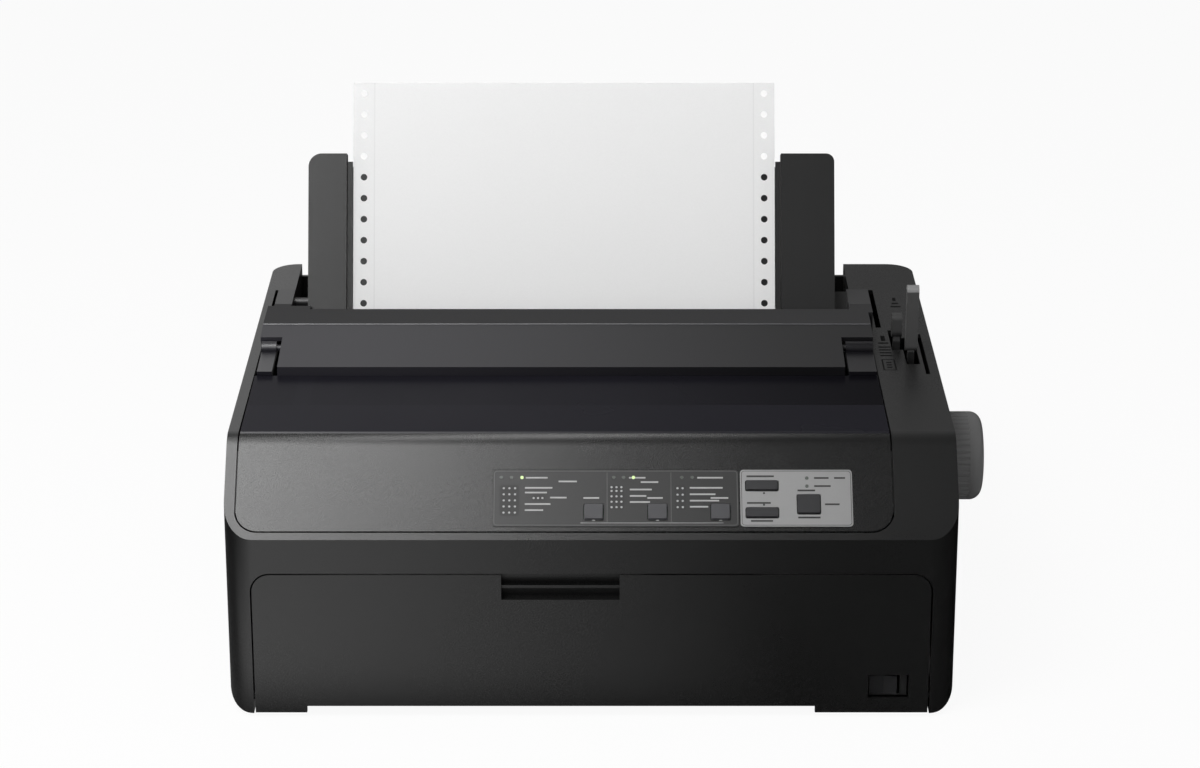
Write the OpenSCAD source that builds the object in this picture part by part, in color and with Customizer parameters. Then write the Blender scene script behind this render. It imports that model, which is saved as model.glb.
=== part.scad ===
// Dot matrix printer for fanfold paper, in millimetres.
// +X is the operator's right, +Y runs to the back and +Z is up; z = 0 is the table top.

/* [Case] */
// Width of the case
body_w = 402; // [380:1:430]
// Depth of the case
body_d = 348; // [330:1:380]
// Height of the rear deck above the table
deck_z = 150.2; // [146:0.2:156]
// Height of the front face, up to the foot of the slope
crease_z = 105.8; // [100:0.2:110]
// Depth of the sloping control panel, measured level
slope_run = 43.6; // [41:0.2:48]
// Radius where the slope rolls over into the deck
lip_r = 14.7; // [8:0.1:18]
// Plan radius of the upright corners
corner_r = 16; // [12:1:20]
// Radius of the lower side edges
base_edge_r = 12; // [8:1:16]
// Wall thickness of the mouldings
wall = 2.6; // [2:0.2:3.4]
// Height of the seam between the two case halves
seam_z = 26.4; // [24:0.2:34]
// Gap under the case, filled by the feet
base_z = 2; // [1.5:0.5:4]
// Visible gap between neighbouring mouldings
seam_gap = 0.9; // [0.4:0.1:1]
// Width of the case rail left of the window
left_rail = 6.8; // [5:0.2:10]
// Width of the deck right of the window, which carries the levers
right_deck = 36.4; // [32:0.2:42]
// Width of the left ear beside the rear recess
left_ear = 17.3; // [14:0.1:22]
// Width of the right ear beside the rear recess
right_ear = 42.5; // [40:0.5:50]
// Height of the rear wall between the ears
rear_wall_z = 143; // [132:1:148]

/* [Front cover] */
// Width of the front cover
cover_w = 372; // [350:1:376]
// Height of the top edge of the front cover
cover_top = 85; // [78:1:92]
// Height of the lower edge of the corner skirts
cover_low = 2.5; // [2.5:0.5:4]
// Thickness of the front cover
cover_t = 3; // [2.4:0.2:3.4]
// Radius of its upper corners
cover_r = 10; // [6:1:14]
// Height of the pivot line above the table
cover_pivot_z = 11; // [10.8:0.1:12]
// Depth of the pivot line behind the front face
cover_pivot_y = 5; // [4.6:0.1:5.6]
// Radius of the moulded pivot pins
cover_pin_r = 2.4; // [1.8:0.1:2.8]
// Width of the grip
grip_w = 64.8; // [50:0.2:80]
// Height of the grip
grip_h = 14.6; // [11:0.2:18]
// Depth of the grip
grip_d = 9; // [8:0.5:9.5]

/* [Control panel] */
// Distance from the foot of the slope to the panel
panel_low = 5.1; // [4:0.1:8]
// Thickness of the panel moulding
panel_t = 3; // [2.4:0.2:3.6]
// Radius of its lower corners
panel_r = 12; // [8:1:16]
// Width of the dark label plate
mode_plate_w = 134.6; // [125:0.2:134.8]
// Width of the silver label plate
key_plate_w = 61.4; // [56:0.2:62]
// Height of both label plates along the slope
plate_h = 33.6; // [32:0.2:35]
// Distance from the foot of the slope to the label plates
plate_low = 7.8; // [7:0.1:10]
// Free travel of the keys
key_travel = 1.0; // [0.8:0.1:1.2]
// Gap round each key cap
key_gap = 0.35; // [0.3:0.05:0.5]
// How far the key caps stand above the panel
key_proud = 1.6; // [1.4:0.1:2]

/* [Window and paper covers] */
// Thickness of the smoked window
window_t = 2.6; // [2:0.2:3]
// Distance from the window's pivot line to its front edge
window_reach = 124.4; // [120:0.2:125]
// Radius of the window's pivot pins
window_pin_r = 2; // [1.5:0.1:2.5]
// Depth of the exit cover behind its pivot line
exit_depth = 49.4; // [46:0.2:50]
// Height of the exit cover's flat top
exit_top_z = 163; // [161:0.5:165]
// Lean of the paper and of its guide from upright
paper_lean = 23; // [20:0.5:26]
// Height of the guide plate along its lean
guide_len = 89.4; // [84:0.2:98]
// Thickness of the guide plate
guide_t = 3; // [2.4:0.2:3.6]
// Width of the left edge guide
left_guide_w = 23; // [20:0.5:24.5]
// Width of the right edge guide
right_guide_w = 32; // [28:0.2:32.4]
// Height of the edge guides along the lean
edge_guide_len = 93.8; // [86:0.2:100]
// Thickness of the edge guides
edge_guide_t = 11; // [9:0.5:13]

/* [Paper] */
// Width of the fanfold paper
paper_w = 254; // [240:1:254]
// Thickness of the paper
paper_t = 0.2; // [0.15:0.05:0.3]
// Length of paper that stands out of the exit
paper_out = 137; // [120:1:150]
// Distance between feed holes
hole_pitch = 12.7; // [12.5:0.1:12.9]
// Radius of the feed holes
hole_r = 2; // [1.9:0.05:2.1]
// Distance of the feed holes from the paper's edge
hole_edge = 6.35; // [6:0.05:6.5]

/* [Platen and drive] */
// Radius of the platen
platen_r = 17; // [15:0.5:18]
// Radius of the platen shaft
platen_shaft_r = 5; // [4:0.5:6]
// Radius of the hand knob
knob_r = 26; // [22:0.5:28]
// Width of the hand knob
knob_w = 22; // [18:0.5:26]
// Reach of the knob beyond the case
knob_reach = 28; // [26:0.5:32]
// Tooth module of the feed gears
gear_module = 1; // [1:0.1:1]
// Face width of the feed gears
gear_w = 6; // [5:0.5:7]
// Radial clearance of shafts that turn
run_gap = 0.06; // [0.03:0.01:0.09]
// Thickness of the side frames
frame_t = 1.6; // [1.2:0.2:2]

/* [Print mechanism] */
// Radius of the carriage guide shaft
guide_shaft_r = 5; // [4:0.5:6]
// Width of the carriage
carriage_w = 58; // [50:1:60]
// Width of the ribbon cartridge
ribbon_w = 66; // [62:1:67]
// Radius of the feed motor
feed_motor_r = 17.5; // [15:0.5:19]
// Radius of the carriage motor
carriage_motor_r = 17.5; // [15:0.5:18]

/* [Levers] */
// Height of the release lever's tip above the table
lever_tip_z = 193; // [184:1:198]
// Width of the release lever's blade
lever_w = 7; // [6:0.5:7.2]
// Height of the thickness lever's tip above the table
tab_tip_z = 168; // [164:1:174]

/* [Hidden] */
eps = 0.01;
free_gap = 0.3;
bench = 60;
half_w = body_w / 2;
slope_angle = atan((deck_z - crease_z) / slope_run);
slope_len = norm([slope_run, deck_z - crease_z]);
lip_y = slope_run + 3.4;
lip_cz = deck_z - lip_r;
lip_cy = slope_run + lip_r * tan(slope_angle / 2);
left_edge = -half_w + left_rail;
right_edge = half_w - right_deck;
left_recess = -half_w + left_ear;
right_recess = half_w - right_ear;
opening_w = right_edge - left_edge;
opening_x = (right_edge + left_edge) / 2;
inner_x = half_w - wall;

// Front cover places
grip_x = -17;
cover_slot_low = 6.4;
cover_slot_x0 = -157.5;
cover_slot_x1 = 123.7;
switch_x0 = 152.8;
switch_x1 = 175.1;
switch_z0 = 10.7;
switch_z1 = 25.2;
rim_d = 7;
rim_t = 2;
lug_w = 4;

// Window, exit cover and paper places
window_y = lip_y + 1.2;
window_z = deck_z + 0.9;
pivot_y = window_y + window_reach;
pivot_z = deck_z + 5.4;
knuckle_r = 4;
notch_w = [12.8, 18.6];
exit_front_y = pivot_y - 33.8;
window_rear_y = exit_front_y - 1.2;
exit_front_z = deck_z + 5.8;
exit_crest_y = pivot_y + 21.6;
exit_rear_y = pivot_y + exit_depth;
exit_t = 2.4;
paper_x = -17;
paper_y = exit_rear_y + 14.2;
paper_z = 158;
paper_angle = 90 - paper_lean;

// Platen line and gear train
platen_y = 166;
platen_z = 91;
frame_x0 = paper_x - paper_w / 2 - 12;
frame_x1 = paper_x + paper_w / 2 + 14;
platen_x0 = frame_x0 + frame_t + 2.4;
platen_x1 = frame_x1 - 3;
gear_x = frame_x0 - 2.4 - gear_w;
platen_teeth = 48;
idler_teeth = 36;
pinion_teeth = 14;
transfer_teeth = 58;
tractor_teeth = 36;
platen_gear_r = platen_teeth * gear_module / 2;
idler_gear_r = idler_teeth * gear_module / 2;
pinion_gear_r = pinion_teeth * gear_module / 2;
transfer_gear_r = transfer_teeth * gear_module / 2;
tractor_gear_r = tractor_teeth * gear_module / 2;
idler_dir = -41;
idler_y = platen_y + (platen_gear_r + idler_gear_r) * cos(idler_dir);
idler_z = platen_z + (platen_gear_r + idler_gear_r) * sin(idler_dir);
pinion_dir = -52;
pinion_y = idler_y + (idler_gear_r + pinion_gear_r) * cos(pinion_dir);
pinion_z = idler_z + (idler_gear_r + pinion_gear_r) * sin(pinion_dir);
transfer_dir = 12;
transfer_y = idler_y + (idler_gear_r + transfer_gear_r) * cos(transfer_dir);
transfer_z = idler_z + (idler_gear_r + transfer_gear_r) * sin(transfer_dir);
tractor_dir = -5;
tractor_y = transfer_y + (transfer_gear_r + tractor_gear_r) * cos(tractor_dir);
tractor_z = transfer_z + (transfer_gear_r + tractor_gear_r) * sin(tractor_dir);
pin_k0 = ceil((body_d - 1 - tractor_y) / hole_pitch - 0.5);
function mesh_phase(own, own_n, next_n, dir) = dir + 180 - (own - dir) * own_n / next_n + 180 / next_n;
platen_phase = 0;
idler_phase = mesh_phase(platen_phase, platen_teeth, idler_teeth, idler_dir);
pinion_phase = mesh_phase(idler_phase, idler_teeth, pinion_teeth, pinion_dir);
transfer_phase = mesh_phase(idler_phase, idler_teeth, transfer_teeth, transfer_dir);
tractor_phase = mesh_phase(transfer_phase, transfer_teeth, tractor_teeth, tractor_dir);
drive_shaft_r = 3;
tractor_pulley_r = 10.6;
tractor_belt_t = 1;
tractor_pin_r = 1.5;
tractor_pin_h = 1.6;
tractor_len = 46;
feed_z = tractor_z + tractor_pulley_r + free_gap + tractor_belt_t + free_gap;

// Print mechanism places
shaft_y = 112;
shaft_z = 63;
rail_y = 66;
rail_z = 60;
head_x = 62;
belt_y = 92;
pulley_r = 8;
pulley_w = 7;
belt_t = 1.2;
motor_pulley_x = 105;
idler_pulley_x = -142;

// Levers
lever_x = right_edge + 22.6;
lever_y = 177;
tab_x = right_edge + 15.6;
tab_w = 6;
tab_y = 198;
lever_pivot_y = 185;
lever_pivot_z = 50;
lever_pin_r = 3;
lever_slot_y0 = 160;
lever_slot_y1 = 206;
bracket_x = 171;

module place() {
    translate([-knob_reach / 2, -body_d / 2, 0])
        children();
}

module side(x0, w) {
    translate([x0, 0, 0])
        rotate([90, 0, 90])
            linear_extrude(w)
                children();
}

module front(y0, d) {
    translate([0, y0 + d, 0])
        rotate([90, 0, 0])
            linear_extrude(d)
                children();
}

module rod(x0, x1, y, z, r) {
    translate([x0, y, z])
        rotate([0, 90, 0])
            cylinder(h = x1 - x0, r = r);
}

module slab(x0, x1, y0, y1, z0, z1) {
    translate([x0, y0, z0])
        cube([x1 - x0, y1 - y0, z1 - z0]);
}

module round_rect(w, d, r) {
    square([w - 2 * r, d], center = true);
    square([w, d - 2 * r], center = true);
    for (i = [-1, 1], j = [-1, 1])
        translate([i * (w / 2 - r), j * (d / 2 - r)])
            circle(r = r);
}

module on_slope() {
    translate([0, 0, crease_z])
        rotate([slope_angle, 0, 0])
            children();
}

module on_paper() {
    translate([paper_x, paper_y, paper_z])
        rotate([paper_angle, 0, 0])
            children();
}

module spur(teeth, w, phase, bore) {
    pitch_r = teeth * gear_module / 2;
    tip_r = pitch_r + 0.8 * gear_module;
    root_r = pitch_r - 1.2 * gear_module;
    step = 360 / teeth;
    linear_extrude(w)
        difference() {
            polygon([for (i = [0 : teeth - 1], k = [0 : 3])
                let (a = phase + i * step + [-0.27, -0.1, 0.1, 0.27][k] * step,
                     r = [root_r, tip_r, tip_r, root_r][k])
                    [r * cos(a), r * sin(a)]]);
            circle(r = bore);
        }
}

module gear_at(x0, y, z, teeth, phase, bore) {
    translate([x0, y, z])
        rotate([90, 0, 90])
            spur(teeth, gear_w, phase, bore);
}

// --- case
module side_profile(inset) {
    r = lip_r - inset;
    polygon([[inset, base_z + inset], [body_d - inset, base_z + inset], [body_d - inset, lip_cz + r],
             [lip_cy, lip_cz + r], [lip_cy - r * sin(slope_angle), lip_cz + r * cos(slope_angle)],
             [inset, crease_z - inset * tan(45 - slope_angle / 2)]]);
    translate([lip_cy, lip_cz])
        circle(r = r);
}

module front_profile(inset) {
    w = body_w - 2 * inset;
    r = base_edge_r - inset;
    low = base_z + inset;
    translate([-w / 2, low + r])
        square([w, deck_z]);
    translate([-w / 2 + r, low])
        square([w - 2 * r, deck_z]);
    for (i = [-1, 1])
        translate([i * (w / 2 - r), low + r])
            circle(r = r);
}

module case_form(inset) {
    intersection() {
        side(-half_w + inset, body_w - 2 * inset)
            side_profile(inset);
        translate([0, body_d / 2, 0])
            linear_extrude(2 * deck_z)
                round_rect(body_w - 2 * inset, body_d - 2 * inset, corner_r - inset);
        front(0, body_d)
            front_profile(inset);
    }
}

module cover_opening() {
    front(-1, 20)
        cover_shape(seam_gap, cover_low - 4);
}

module cover_shape(grow, low) {
    w = cover_w + 2 * grow;
    top = cover_top + grow;
    r = cover_r + grow;
    translate([-w / 2, low])
        square([w, top - r - low]);
    translate([-w / 2 + r, low])
        square([w - 2 * r, top - low]);
    for (i = [-1, 1])
        translate([i * (w / 2 - r), top - r])
            circle(r = r);
}

floor_top = base_z + wall;
front_floor_y = 17;
vent_n = 14;
vent_pitch = 9;
vent_w = 3;
boss_y0 = 30;
boss_y1 = body_d - 30;
boss_x = half_w - 24;
foot_r = 9;
foot_x = half_w - 30;
foot_y = 30;
screw_r = 1.8;
screw_head_r = 3.6;
screw_seat_z = 3.6;
screw_len = 24;
boss_r = 5;
inlet_x = -110;
inlet_w = 30;
inlet_h = 24;
inlet_z = 40;
board_z = 30;
board_t = 1.6;
port_x = 78;
port_w = 58;
port_h = 16;
port_z = board_z + board_t + port_h / 2;
usb_x = 28;
usb_w = 13;
usb_h = 12;
usb_z = board_z + board_t + usb_h / 2;
rear_slot_z0 = feed_z - 9;
rear_slot_z1 = feed_z + 15;

module lower_case() {
    color([0.12, 0.12, 0.13]) place() {
        difference() {
            intersection() {
                case_form(0);
                slab(-half_w, half_w, 0, body_d, 0, seam_z);
            }
            case_form(wall);
            cover_opening();
            slab(-cover_w / 2 - seam_gap, cover_w / 2 + seam_gap, -1, front_floor_y, -1, seam_z);
            // seats of the front cover's pivot pins
            for (i = [-1, 1])
                scale_x(i)
                    rod(cover_w / 2, cover_w / 2 + seam_gap + lug_w, cover_pivot_y, cover_pivot_z,
                        cover_pin_r + run_gap);
            for (i = [0 : vent_n - 1])
                slab(-120 + i * vent_pitch, -120 + i * vent_pitch + vent_w, 120, 190, -1, floor_top + 1);
            for (x = [-boss_x, boss_x], y = [boss_y0 + 40, boss_y1])
                translate([x, y, -1]) {
                    cylinder(h = bench, r = screw_r);
                    cylinder(h = screw_seat_z + 1, r = screw_head_r + free_gap);
                }
        }
        for (x = [-boss_x, boss_x], y = [boss_y0 + 40, boss_y1])
            translate([x, y, floor_top - 0.4])
                difference() {
                    cylinder(h = 8, r = boss_r);
                    translate([0, 0, -1])
                        cylinder(h = 10, r = screw_r);
                }
        for (i = [-1, 1])
            cover_lug(i);
    }
}

module cover_lug(i) {
    x0 = cover_w / 2 + seam_gap;
    difference() {
        scale_x(i)
            slab(x0, x0 + lug_w, wall / 2, cover_pivot_y + 7, floor_top, cover_pivot_z + 8);
        rod(-half_w, half_w, cover_pivot_y, cover_pivot_z, cover_pin_r + run_gap);
    }
}

module scale_x(i) {
    if (i > 0) {
        children();
    } else {
        mirror([1, 0, 0])
            children();
    }
}

module deck_openings() {
    // control panel on the slope
    on_slope()
        translate([0, 0, -bench / 2])
            linear_extrude(bench)
                panel_shape(seam_gap, bench * 2);
    // window and exit cover
    slab(left_edge - seam_gap, right_edge + seam_gap, slope_run - 1, exit_rear_y + 3, crease_z, deck_z + 1);
    // rear recess
    slab(left_recess, right_recess, exit_rear_y, body_d + 1, rear_wall_z, deck_z + 1);
    slab(left_recess, right_recess, exit_rear_y, body_d - wall, crease_z, deck_z + 1);
}

module panel_shape(grow, top) {
    w = opening_w + 2 * grow;
    low = panel_low - grow;
    r = panel_r + grow;
    translate([opening_x - w / 2, low + r])
        square([w, top]);
    translate([opening_x - w / 2 + r, low])
        square([w - 2 * r, top]);
    for (i = [-1, 1])
        translate([opening_x + i * (w / 2 - r), low + r])
            circle(r = r);
}

module upper_case() {
    color([0.14, 0.14, 0.15]) place() {
        difference() {
            intersection() {
                case_form(0);
                slab(-half_w, half_w, 0, body_d, seam_z, deck_z);
            }
            case_form(wall);
            cover_opening();
            deck_openings();
            // paper opening in the rear wall
            slab(paper_x - paper_w / 2 - 12, paper_x + paper_w / 2 + 12, body_d - 2 * wall, body_d + 1,
                 rear_slot_z0, rear_slot_z1);
            // sockets in the rear wall
            rear_cut(inlet_x, inlet_z, inlet_w, inlet_h);
            rear_cut(port_x, port_z, port_w, port_h);
            rear_cut(usb_x, usb_z, usb_w, usb_h);
            // platen knob
            rod(0, half_w + 1, platen_y, platen_z, platen_shaft_r + 4);
            // lever slots
            slab(lever_x - lever_w / 2 - 0.5, lever_x + lever_w / 2 + 0.5, lever_slot_y0, lever_slot_y1,
                 deck_z - 2 * wall, deck_z + 1);
            slab(tab_x - tab_w / 2 - 0.6, tab_x + tab_w / 2 + 0.6, tab_y - 13, tab_y + 22,
                 deck_z - 2 * wall, deck_z + 1);
            // side slot of the right deck and the slots beside the guide arms
            slab(right_edge + 28.6, right_edge + 31, 143, 213, deck_z - 2 * wall, deck_z + 1);
            slab(right_recess + 11.5, right_recess + 14.7, exit_rear_y + 3, exit_rear_y + 74,
                 deck_z - 2 * wall, deck_z + 1);
            slab(arm_x[0] - 5.4, arm_x[0] - 2.6, exit_rear_y + 33, exit_rear_y + 74,
                 deck_z - 2 * wall, deck_z + 1);
            // cooling slots in the left side
            for (i = [0 : vent_n - 1])
                slab(-half_w - 1, -half_w + 2 * wall, 110 + i * vent_pitch, 110 + i * vent_pitch + vent_w,
                     62, 92);
        }
        // ear walls beside the recess
        slab(left_recess - wall, left_recess, exit_rear_y + 3, body_d - wall / 2, platen_z + 10, deck_z - 1);
        slab(right_recess, right_recess + wall, exit_rear_y + 3, body_d - wall / 2, platen_z + 10, deck_z - 1);
        // wall that carries the right deck
        slab(right_edge + seam_gap, right_edge + seam_gap + wall, lip_y + 12, exit_rear_y + 4,
             deck_z - 32, deck_z - 1);
        // ledges that carry the exit cover
        slab(right_edge + seam_gap - 5, right_edge + seam_gap + 1, pivot_y + 5, exit_rear_y - 2,
             ledge_z - 4, ledge_z);
        slab(-half_w + wall / 2, left_edge - seam_gap + 5, pivot_y + 5, exit_rear_y - 2,
             ledge_z - 4, ledge_z);
        // ledges that carry the control panel
        on_slope() {
            slab(-inner_x - 0.5, left_edge + 5, ledge_s0, ledge_s1, -panel_t - 3, -panel_t);
            slab(right_edge - 5, right_edge + 8, ledge_s0, ledge_s1, -panel_t - 3, -panel_t);
            slab(right_edge + seam_gap, right_edge + 8, ledge_s0, ledge_s1, -panel_t - 1, -wall / 2);
            slab(left_edge + panel_r, right_edge - panel_r, 1, panel_low + 5, -panel_t - 3, -panel_t);
            slab(left_edge + panel_r, right_edge - panel_r, 1, panel_low - seam_gap, -panel_t - 1, -wall / 2);
        }
        // bosses for the case screws
        for (x = [-boss_x, boss_x], y = [boss_y0 + 40, boss_y1])
            case_boss(x, y);
    }
}

ledge_z = deck_z - 1.2;
ledge_s0 = panel_low + panel_r;
ledge_s1 = slope_len - lip_r * tan(slope_angle / 2) - 2;
boss_low = floor_top + 8;

module case_boss(x, y) {
    i = x > 0 ? 1 : -1;
    difference() {
        union() {
            translate([x, y, boss_low])
                cylinder(h = 46, r = boss_r);
            scale_x(i)
                slab(abs(x), inner_x + wall / 2, y - 1.2, y + 1.2, seam_z, boss_low + 44);
        }
        translate([x, y, boss_low - 1])
            cylinder(h = 16, r = screw_r - 0.1);
    }
}

module rear_cut(x, z, w, h) {
    slab(x - w / 2 - free_gap, x + w / 2 + free_gap, body_d - 2 * wall, body_d + 1, z - h / 2 - free_gap,
         z + h / 2 + free_gap);
}

module front_cover() {
    color([0.11, 0.11, 0.12]) place() {
        difference() {
            union() {
                front(0, cover_t)
                    cover_shape(0, cover_low);
                // rim round the back of the plate
                difference() {
                    front(cover_t - eps, rim_d)
                        cover_shape(0, cover_pivot_z - 4);
                    front(cover_t - 1, rim_d + 2)
                        cover_shape(-rim_t, cover_low - 5);
                }
                // stiffening ribs
                for (x = [-100, 70])
                    slab(x, x + rim_t, cover_t - eps, cover_t + rim_d, cover_pivot_z - 4, cover_top - 1);
            }
            slab(cover_slot_x0, cover_slot_x1, -1, cover_t + 1, 0, cover_slot_low);
            slab(grip_x - grip_w / 2, grip_x + grip_w / 2, -1, grip_d, cover_top - grip_h, cover_top + 1);
            slab(switch_x0, switch_x1, -1, cover_t + 1, switch_z0, switch_z1);
        }
        // pocket behind the grip
        difference() {
            slab(grip_x - grip_w / 2 - rim_t, grip_x + grip_w / 2 + rim_t, cover_t - eps, grip_d + rim_t,
                 cover_top - grip_h - rim_t, cover_top);
            slab(grip_x - grip_w / 2, grip_x + grip_w / 2, 0, grip_d, cover_top - grip_h, cover_top + 1);
        }
        slab(grip_x - grip_w / 2 - 1, grip_x + grip_w / 2 + 1, 3.5, grip_d + 1, cover_top - 9, cover_top - 7.4);
        // pivot pins
        for (i = [-1, 1])
            scale_x(i)
                rod(cover_w / 2 - rim_t, cover_w / 2 + seam_gap + lug_w - 0.4, cover_pivot_y, cover_pivot_z,
                    cover_pin_r);
        for (i = [-1, 1])
            scale_x(i)
                slab(cover_w / 2 - rim_t, cover_w / 2, cover_t - eps, cover_pivot_y + 3, cover_pivot_z - 4,
                     cover_pivot_z + 6);
    }
}

// --- control panel
mode_x0 = -54;
key_x0 = mode_x0 + mode_plate_w + 0.8;
plate_t = 0.6;
plate_top = 0.3;
led_r = 0.9;
led_s = plate_low + plate_h - 4.6;
led_x = [-49.4, -43.8, -38.1, 12.2, 17.6, 23, 49.5, 55.2];
lamp_x = key_x0 + 36.6;
lamp_s = [plate_low + plate_h - 4.9, plate_low + plate_h - 9.7];
square_key = 10.4;
square_key_s = 16.4;
square_key_x = [1.2, 36.1, 70.5];
wide_key_w = 17.8;
wide_key_h = 6;
wide_key_x = key_x0 + 11.9;
wide_key_s = [31.9, 15.9];
pause_w = 12.6;
pause_h = 11.4;
pause_x = key_x0 + 37.4;
pause_s = 20.9;
board_n = -9;
stem_r = 2;

module control_panel() {
    color([0.13, 0.13, 0.14]) place()
        difference() {
            union() {
                intersection() {
                    difference() {
                        side(left_edge - 1, opening_w + 2)
                            side_profile(0);
                        side(left_edge - 2, opening_w + 4)
                            side_profile(panel_t);
                    }
                    on_slope()
                        translate([0, 0, -bench / 2])
                            linear_extrude(bench)
                                panel_shape(0, bench);
                    slab(-half_w, half_w, 0, lip_y, crease_z - 5, deck_z + 1);
                }
                // folded top edge that the window rests against
                slab(left_edge + 1, right_edge - 1, lip_y - 2.6, lip_y - 0.4, deck_z - 6.6, deck_z - 1.6);
                // shelf that the window's front edge rests on
                slab(left_edge + 2, right_edge - 2, lip_y - 2, window_y + 2.4,
                     deck_z - window_t - 2.1, deck_z - window_t - 0.1);
            }
            on_slope() {
                for (x = square_key_x)
                    key_hole(x, square_key_s, square_key, square_key - 1);
                for (s = wide_key_s)
                    key_hole(wide_key_x, s, wide_key_w, wide_key_h);
                key_hole(pause_x, pause_s, pause_w, pause_h);
                // shallow bed of the label plates
                slab(mode_x0 - free_gap, key_x0 + key_plate_w + free_gap, plate_low - free_gap,
                     plate_low + plate_h + free_gap, plate_top - plate_t, 1);
                lamp_holes(free_gap / 3, -bench / 4, bench);
            }
        }
}

module key_hole(x, s, w, h) {
    translate([x, s, -bench / 2])
        linear_extrude(bench)
            round_rect(w + 2 * key_gap, h + 2 * key_gap, 0.8 + key_gap);
}

module lamp_holes(grow, n0, h) {
    for (x = led_x)
        translate([x, led_s, n0])
            cylinder(h = h, r = led_r + grow);
    for (s = lamp_s)
        translate([lamp_x, s, n0])
            cylinder(h = h, r = led_r + grow);
}

module label_plate(x0, w) {
    translate([x0 + w / 2, plate_low + plate_h / 2, plate_top - plate_t])
        linear_extrude(plate_t)
            round_rect(w, plate_h, 2);
}

module mode_label_plate() {
    color([0.16, 0.16, 0.18]) place()
        on_slope()
            difference() {
                label_plate(mode_x0, mode_plate_w);
                for (x = square_key_x)
                    key_hole(x, square_key_s, square_key, square_key - 1);
                lamp_holes(free_gap / 3, -bench / 4, bench);
            }
}

module key_label_plate() {
    color([0.72, 0.73, 0.74]) place()
        on_slope()
            difference() {
                label_plate(key_x0, key_plate_w);
                for (s = wide_key_s)
                    key_hole(wide_key_x, s, wide_key_w, wide_key_h);
                key_hole(pause_x, pause_s, pause_w, pause_h);
                lamp_holes(free_gap / 3, -bench / 4, bench);
            }
}

module indicator_lights() {
    color([0.75, 0.9, 0.5]) place()
        on_slope()
            lamp_holes(0, board_n, -board_n + plate_top + 0.2);
}

module panel_board() {
    color([0.1, 0.35, 0.2]) place()
        on_slope() {
            slab(mode_x0 - 3, key_x0 + key_plate_w + 2, plate_low + 1, plate_low + plate_h - 1, board_n - 1.6, board_n);
            for (x = square_key_x)
                switch_body(x, square_key_s);
            for (s = wide_key_s)
                switch_body(wide_key_x, s);
            switch_body(pause_x, pause_s);
            // posts up to the underside of the panel
            for (x = [mode_x0 - 1, key_x0 + key_plate_w - 4])
                slab(x, x + 3, plate_low + 2, plate_low + 5, board_n - 0.5, -panel_t);
        }
}

module switch_body(x, s) {
    slab(x - 3, x + 3, s - 2.6, s + 2.6, board_n - 0.5, board_n + 2.6);
}

module key_cap(x, s, w, h) {
    translate([x, s, 0]) {
        translate([0, 0, -panel_t - key_travel])
            linear_extrude(panel_t + key_travel + key_proud - 0.8)
                round_rect(w, h, 0.8);
        translate([0, 0, key_proud - 0.8])
            linear_extrude(0.8)
                round_rect(w - 0.8, h - 0.8, 0.8);
        translate([0, 0, board_n + 2.6 + key_travel + free_gap / 3])
            cylinder(h = -board_n - 2.6 - panel_t - key_travel, r = stem_r);
    }
}

module load_eject_key() {
    color([0.18, 0.18, 0.19]) place()
        on_slope()
            key_cap(wide_key_x, wide_key_s[0], wide_key_w, wide_key_h);
}

module line_feed_key() {
    color([0.18, 0.18, 0.19]) place()
        on_slope()
            key_cap(wide_key_x, wide_key_s[1], wide_key_w, wide_key_h);
}

module pause_key() {
    color([0.2, 0.2, 0.21]) place()
        on_slope()
            key_cap(pause_x, pause_s, pause_w, pause_h);
}

module font_key() {
    color([0.17, 0.17, 0.19]) place()
        on_slope()
            key_cap(square_key_x[0], square_key_s, square_key, square_key - 1);
}

module pitch_key() {
    color([0.17, 0.17, 0.19]) place()
        on_slope()
            key_cap(square_key_x[1], square_key_s, square_key, square_key - 1);
}

module tear_off_key() {
    color([0.17, 0.17, 0.19]) place()
        on_slope()
            key_cap(square_key_x[2], square_key_s, square_key, square_key - 1);
}

// --- window, exit cover, paper guides
module window_cover() {
    color([0.2, 0.19, 0.22, 0.8]) place() {
        side(left_edge, opening_w)
            polygon([[window_y, deck_z - window_t], [window_rear_y, window_z - window_t],
                     [window_rear_y, window_z], [window_y + 0.8, deck_z], [window_y, deck_z - 0.8]]);
        // stiffening lip along the front edge
        slab(left_edge + 6, right_edge - 6, window_y + 3, window_y + 5, deck_z - window_t - 3, deck_z - 1);
        for (i = [0, 1])
            window_arm(i);
    }
}

arm_w = [notch_w[0] - 4.2, notch_w[1] - 2.6];
arm_x0 = [left_edge + 1.2, right_edge - arm_w[1] - 0.4];

module window_arm(i) {
    x0 = arm_x0[i];
    difference() {
        union() {
            side(x0, arm_w[i])
                polygon([[window_rear_y - 8, window_z - 1.5], [pivot_y, pivot_z - 3.8],
                         [pivot_y, pivot_z - 0.6], [window_rear_y - 0.4, window_z + 2.7],
                         [window_rear_y - 0.4, window_z - 0.6], [window_rear_y - 8, window_z - 0.6]]);
            rod(x0, x0 + arm_w[i], pivot_y, pivot_z, knuckle_r);
        }
        rod(x0 - 1, x0 + arm_w[i] + 1, pivot_y, pivot_z, window_pin_r + run_gap);
    }
}

module exit_profile() {
    // down-turned lip at the front, skirt at the rear
    polygon([[exit_front_y + 1.6, deck_z], [exit_front_y, deck_z], [exit_front_y, exit_front_z],
             [exit_crest_y, exit_top_z], [exit_rear_y, exit_top_z],
             [exit_rear_y, exit_top_z - 9], [exit_rear_y - exit_t, exit_top_z - 9],
             [exit_rear_y - exit_t, exit_top_z - exit_t], [exit_crest_y, exit_top_z - exit_t],
             [exit_front_y + 1.6, exit_front_z - exit_t]]);
}

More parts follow.
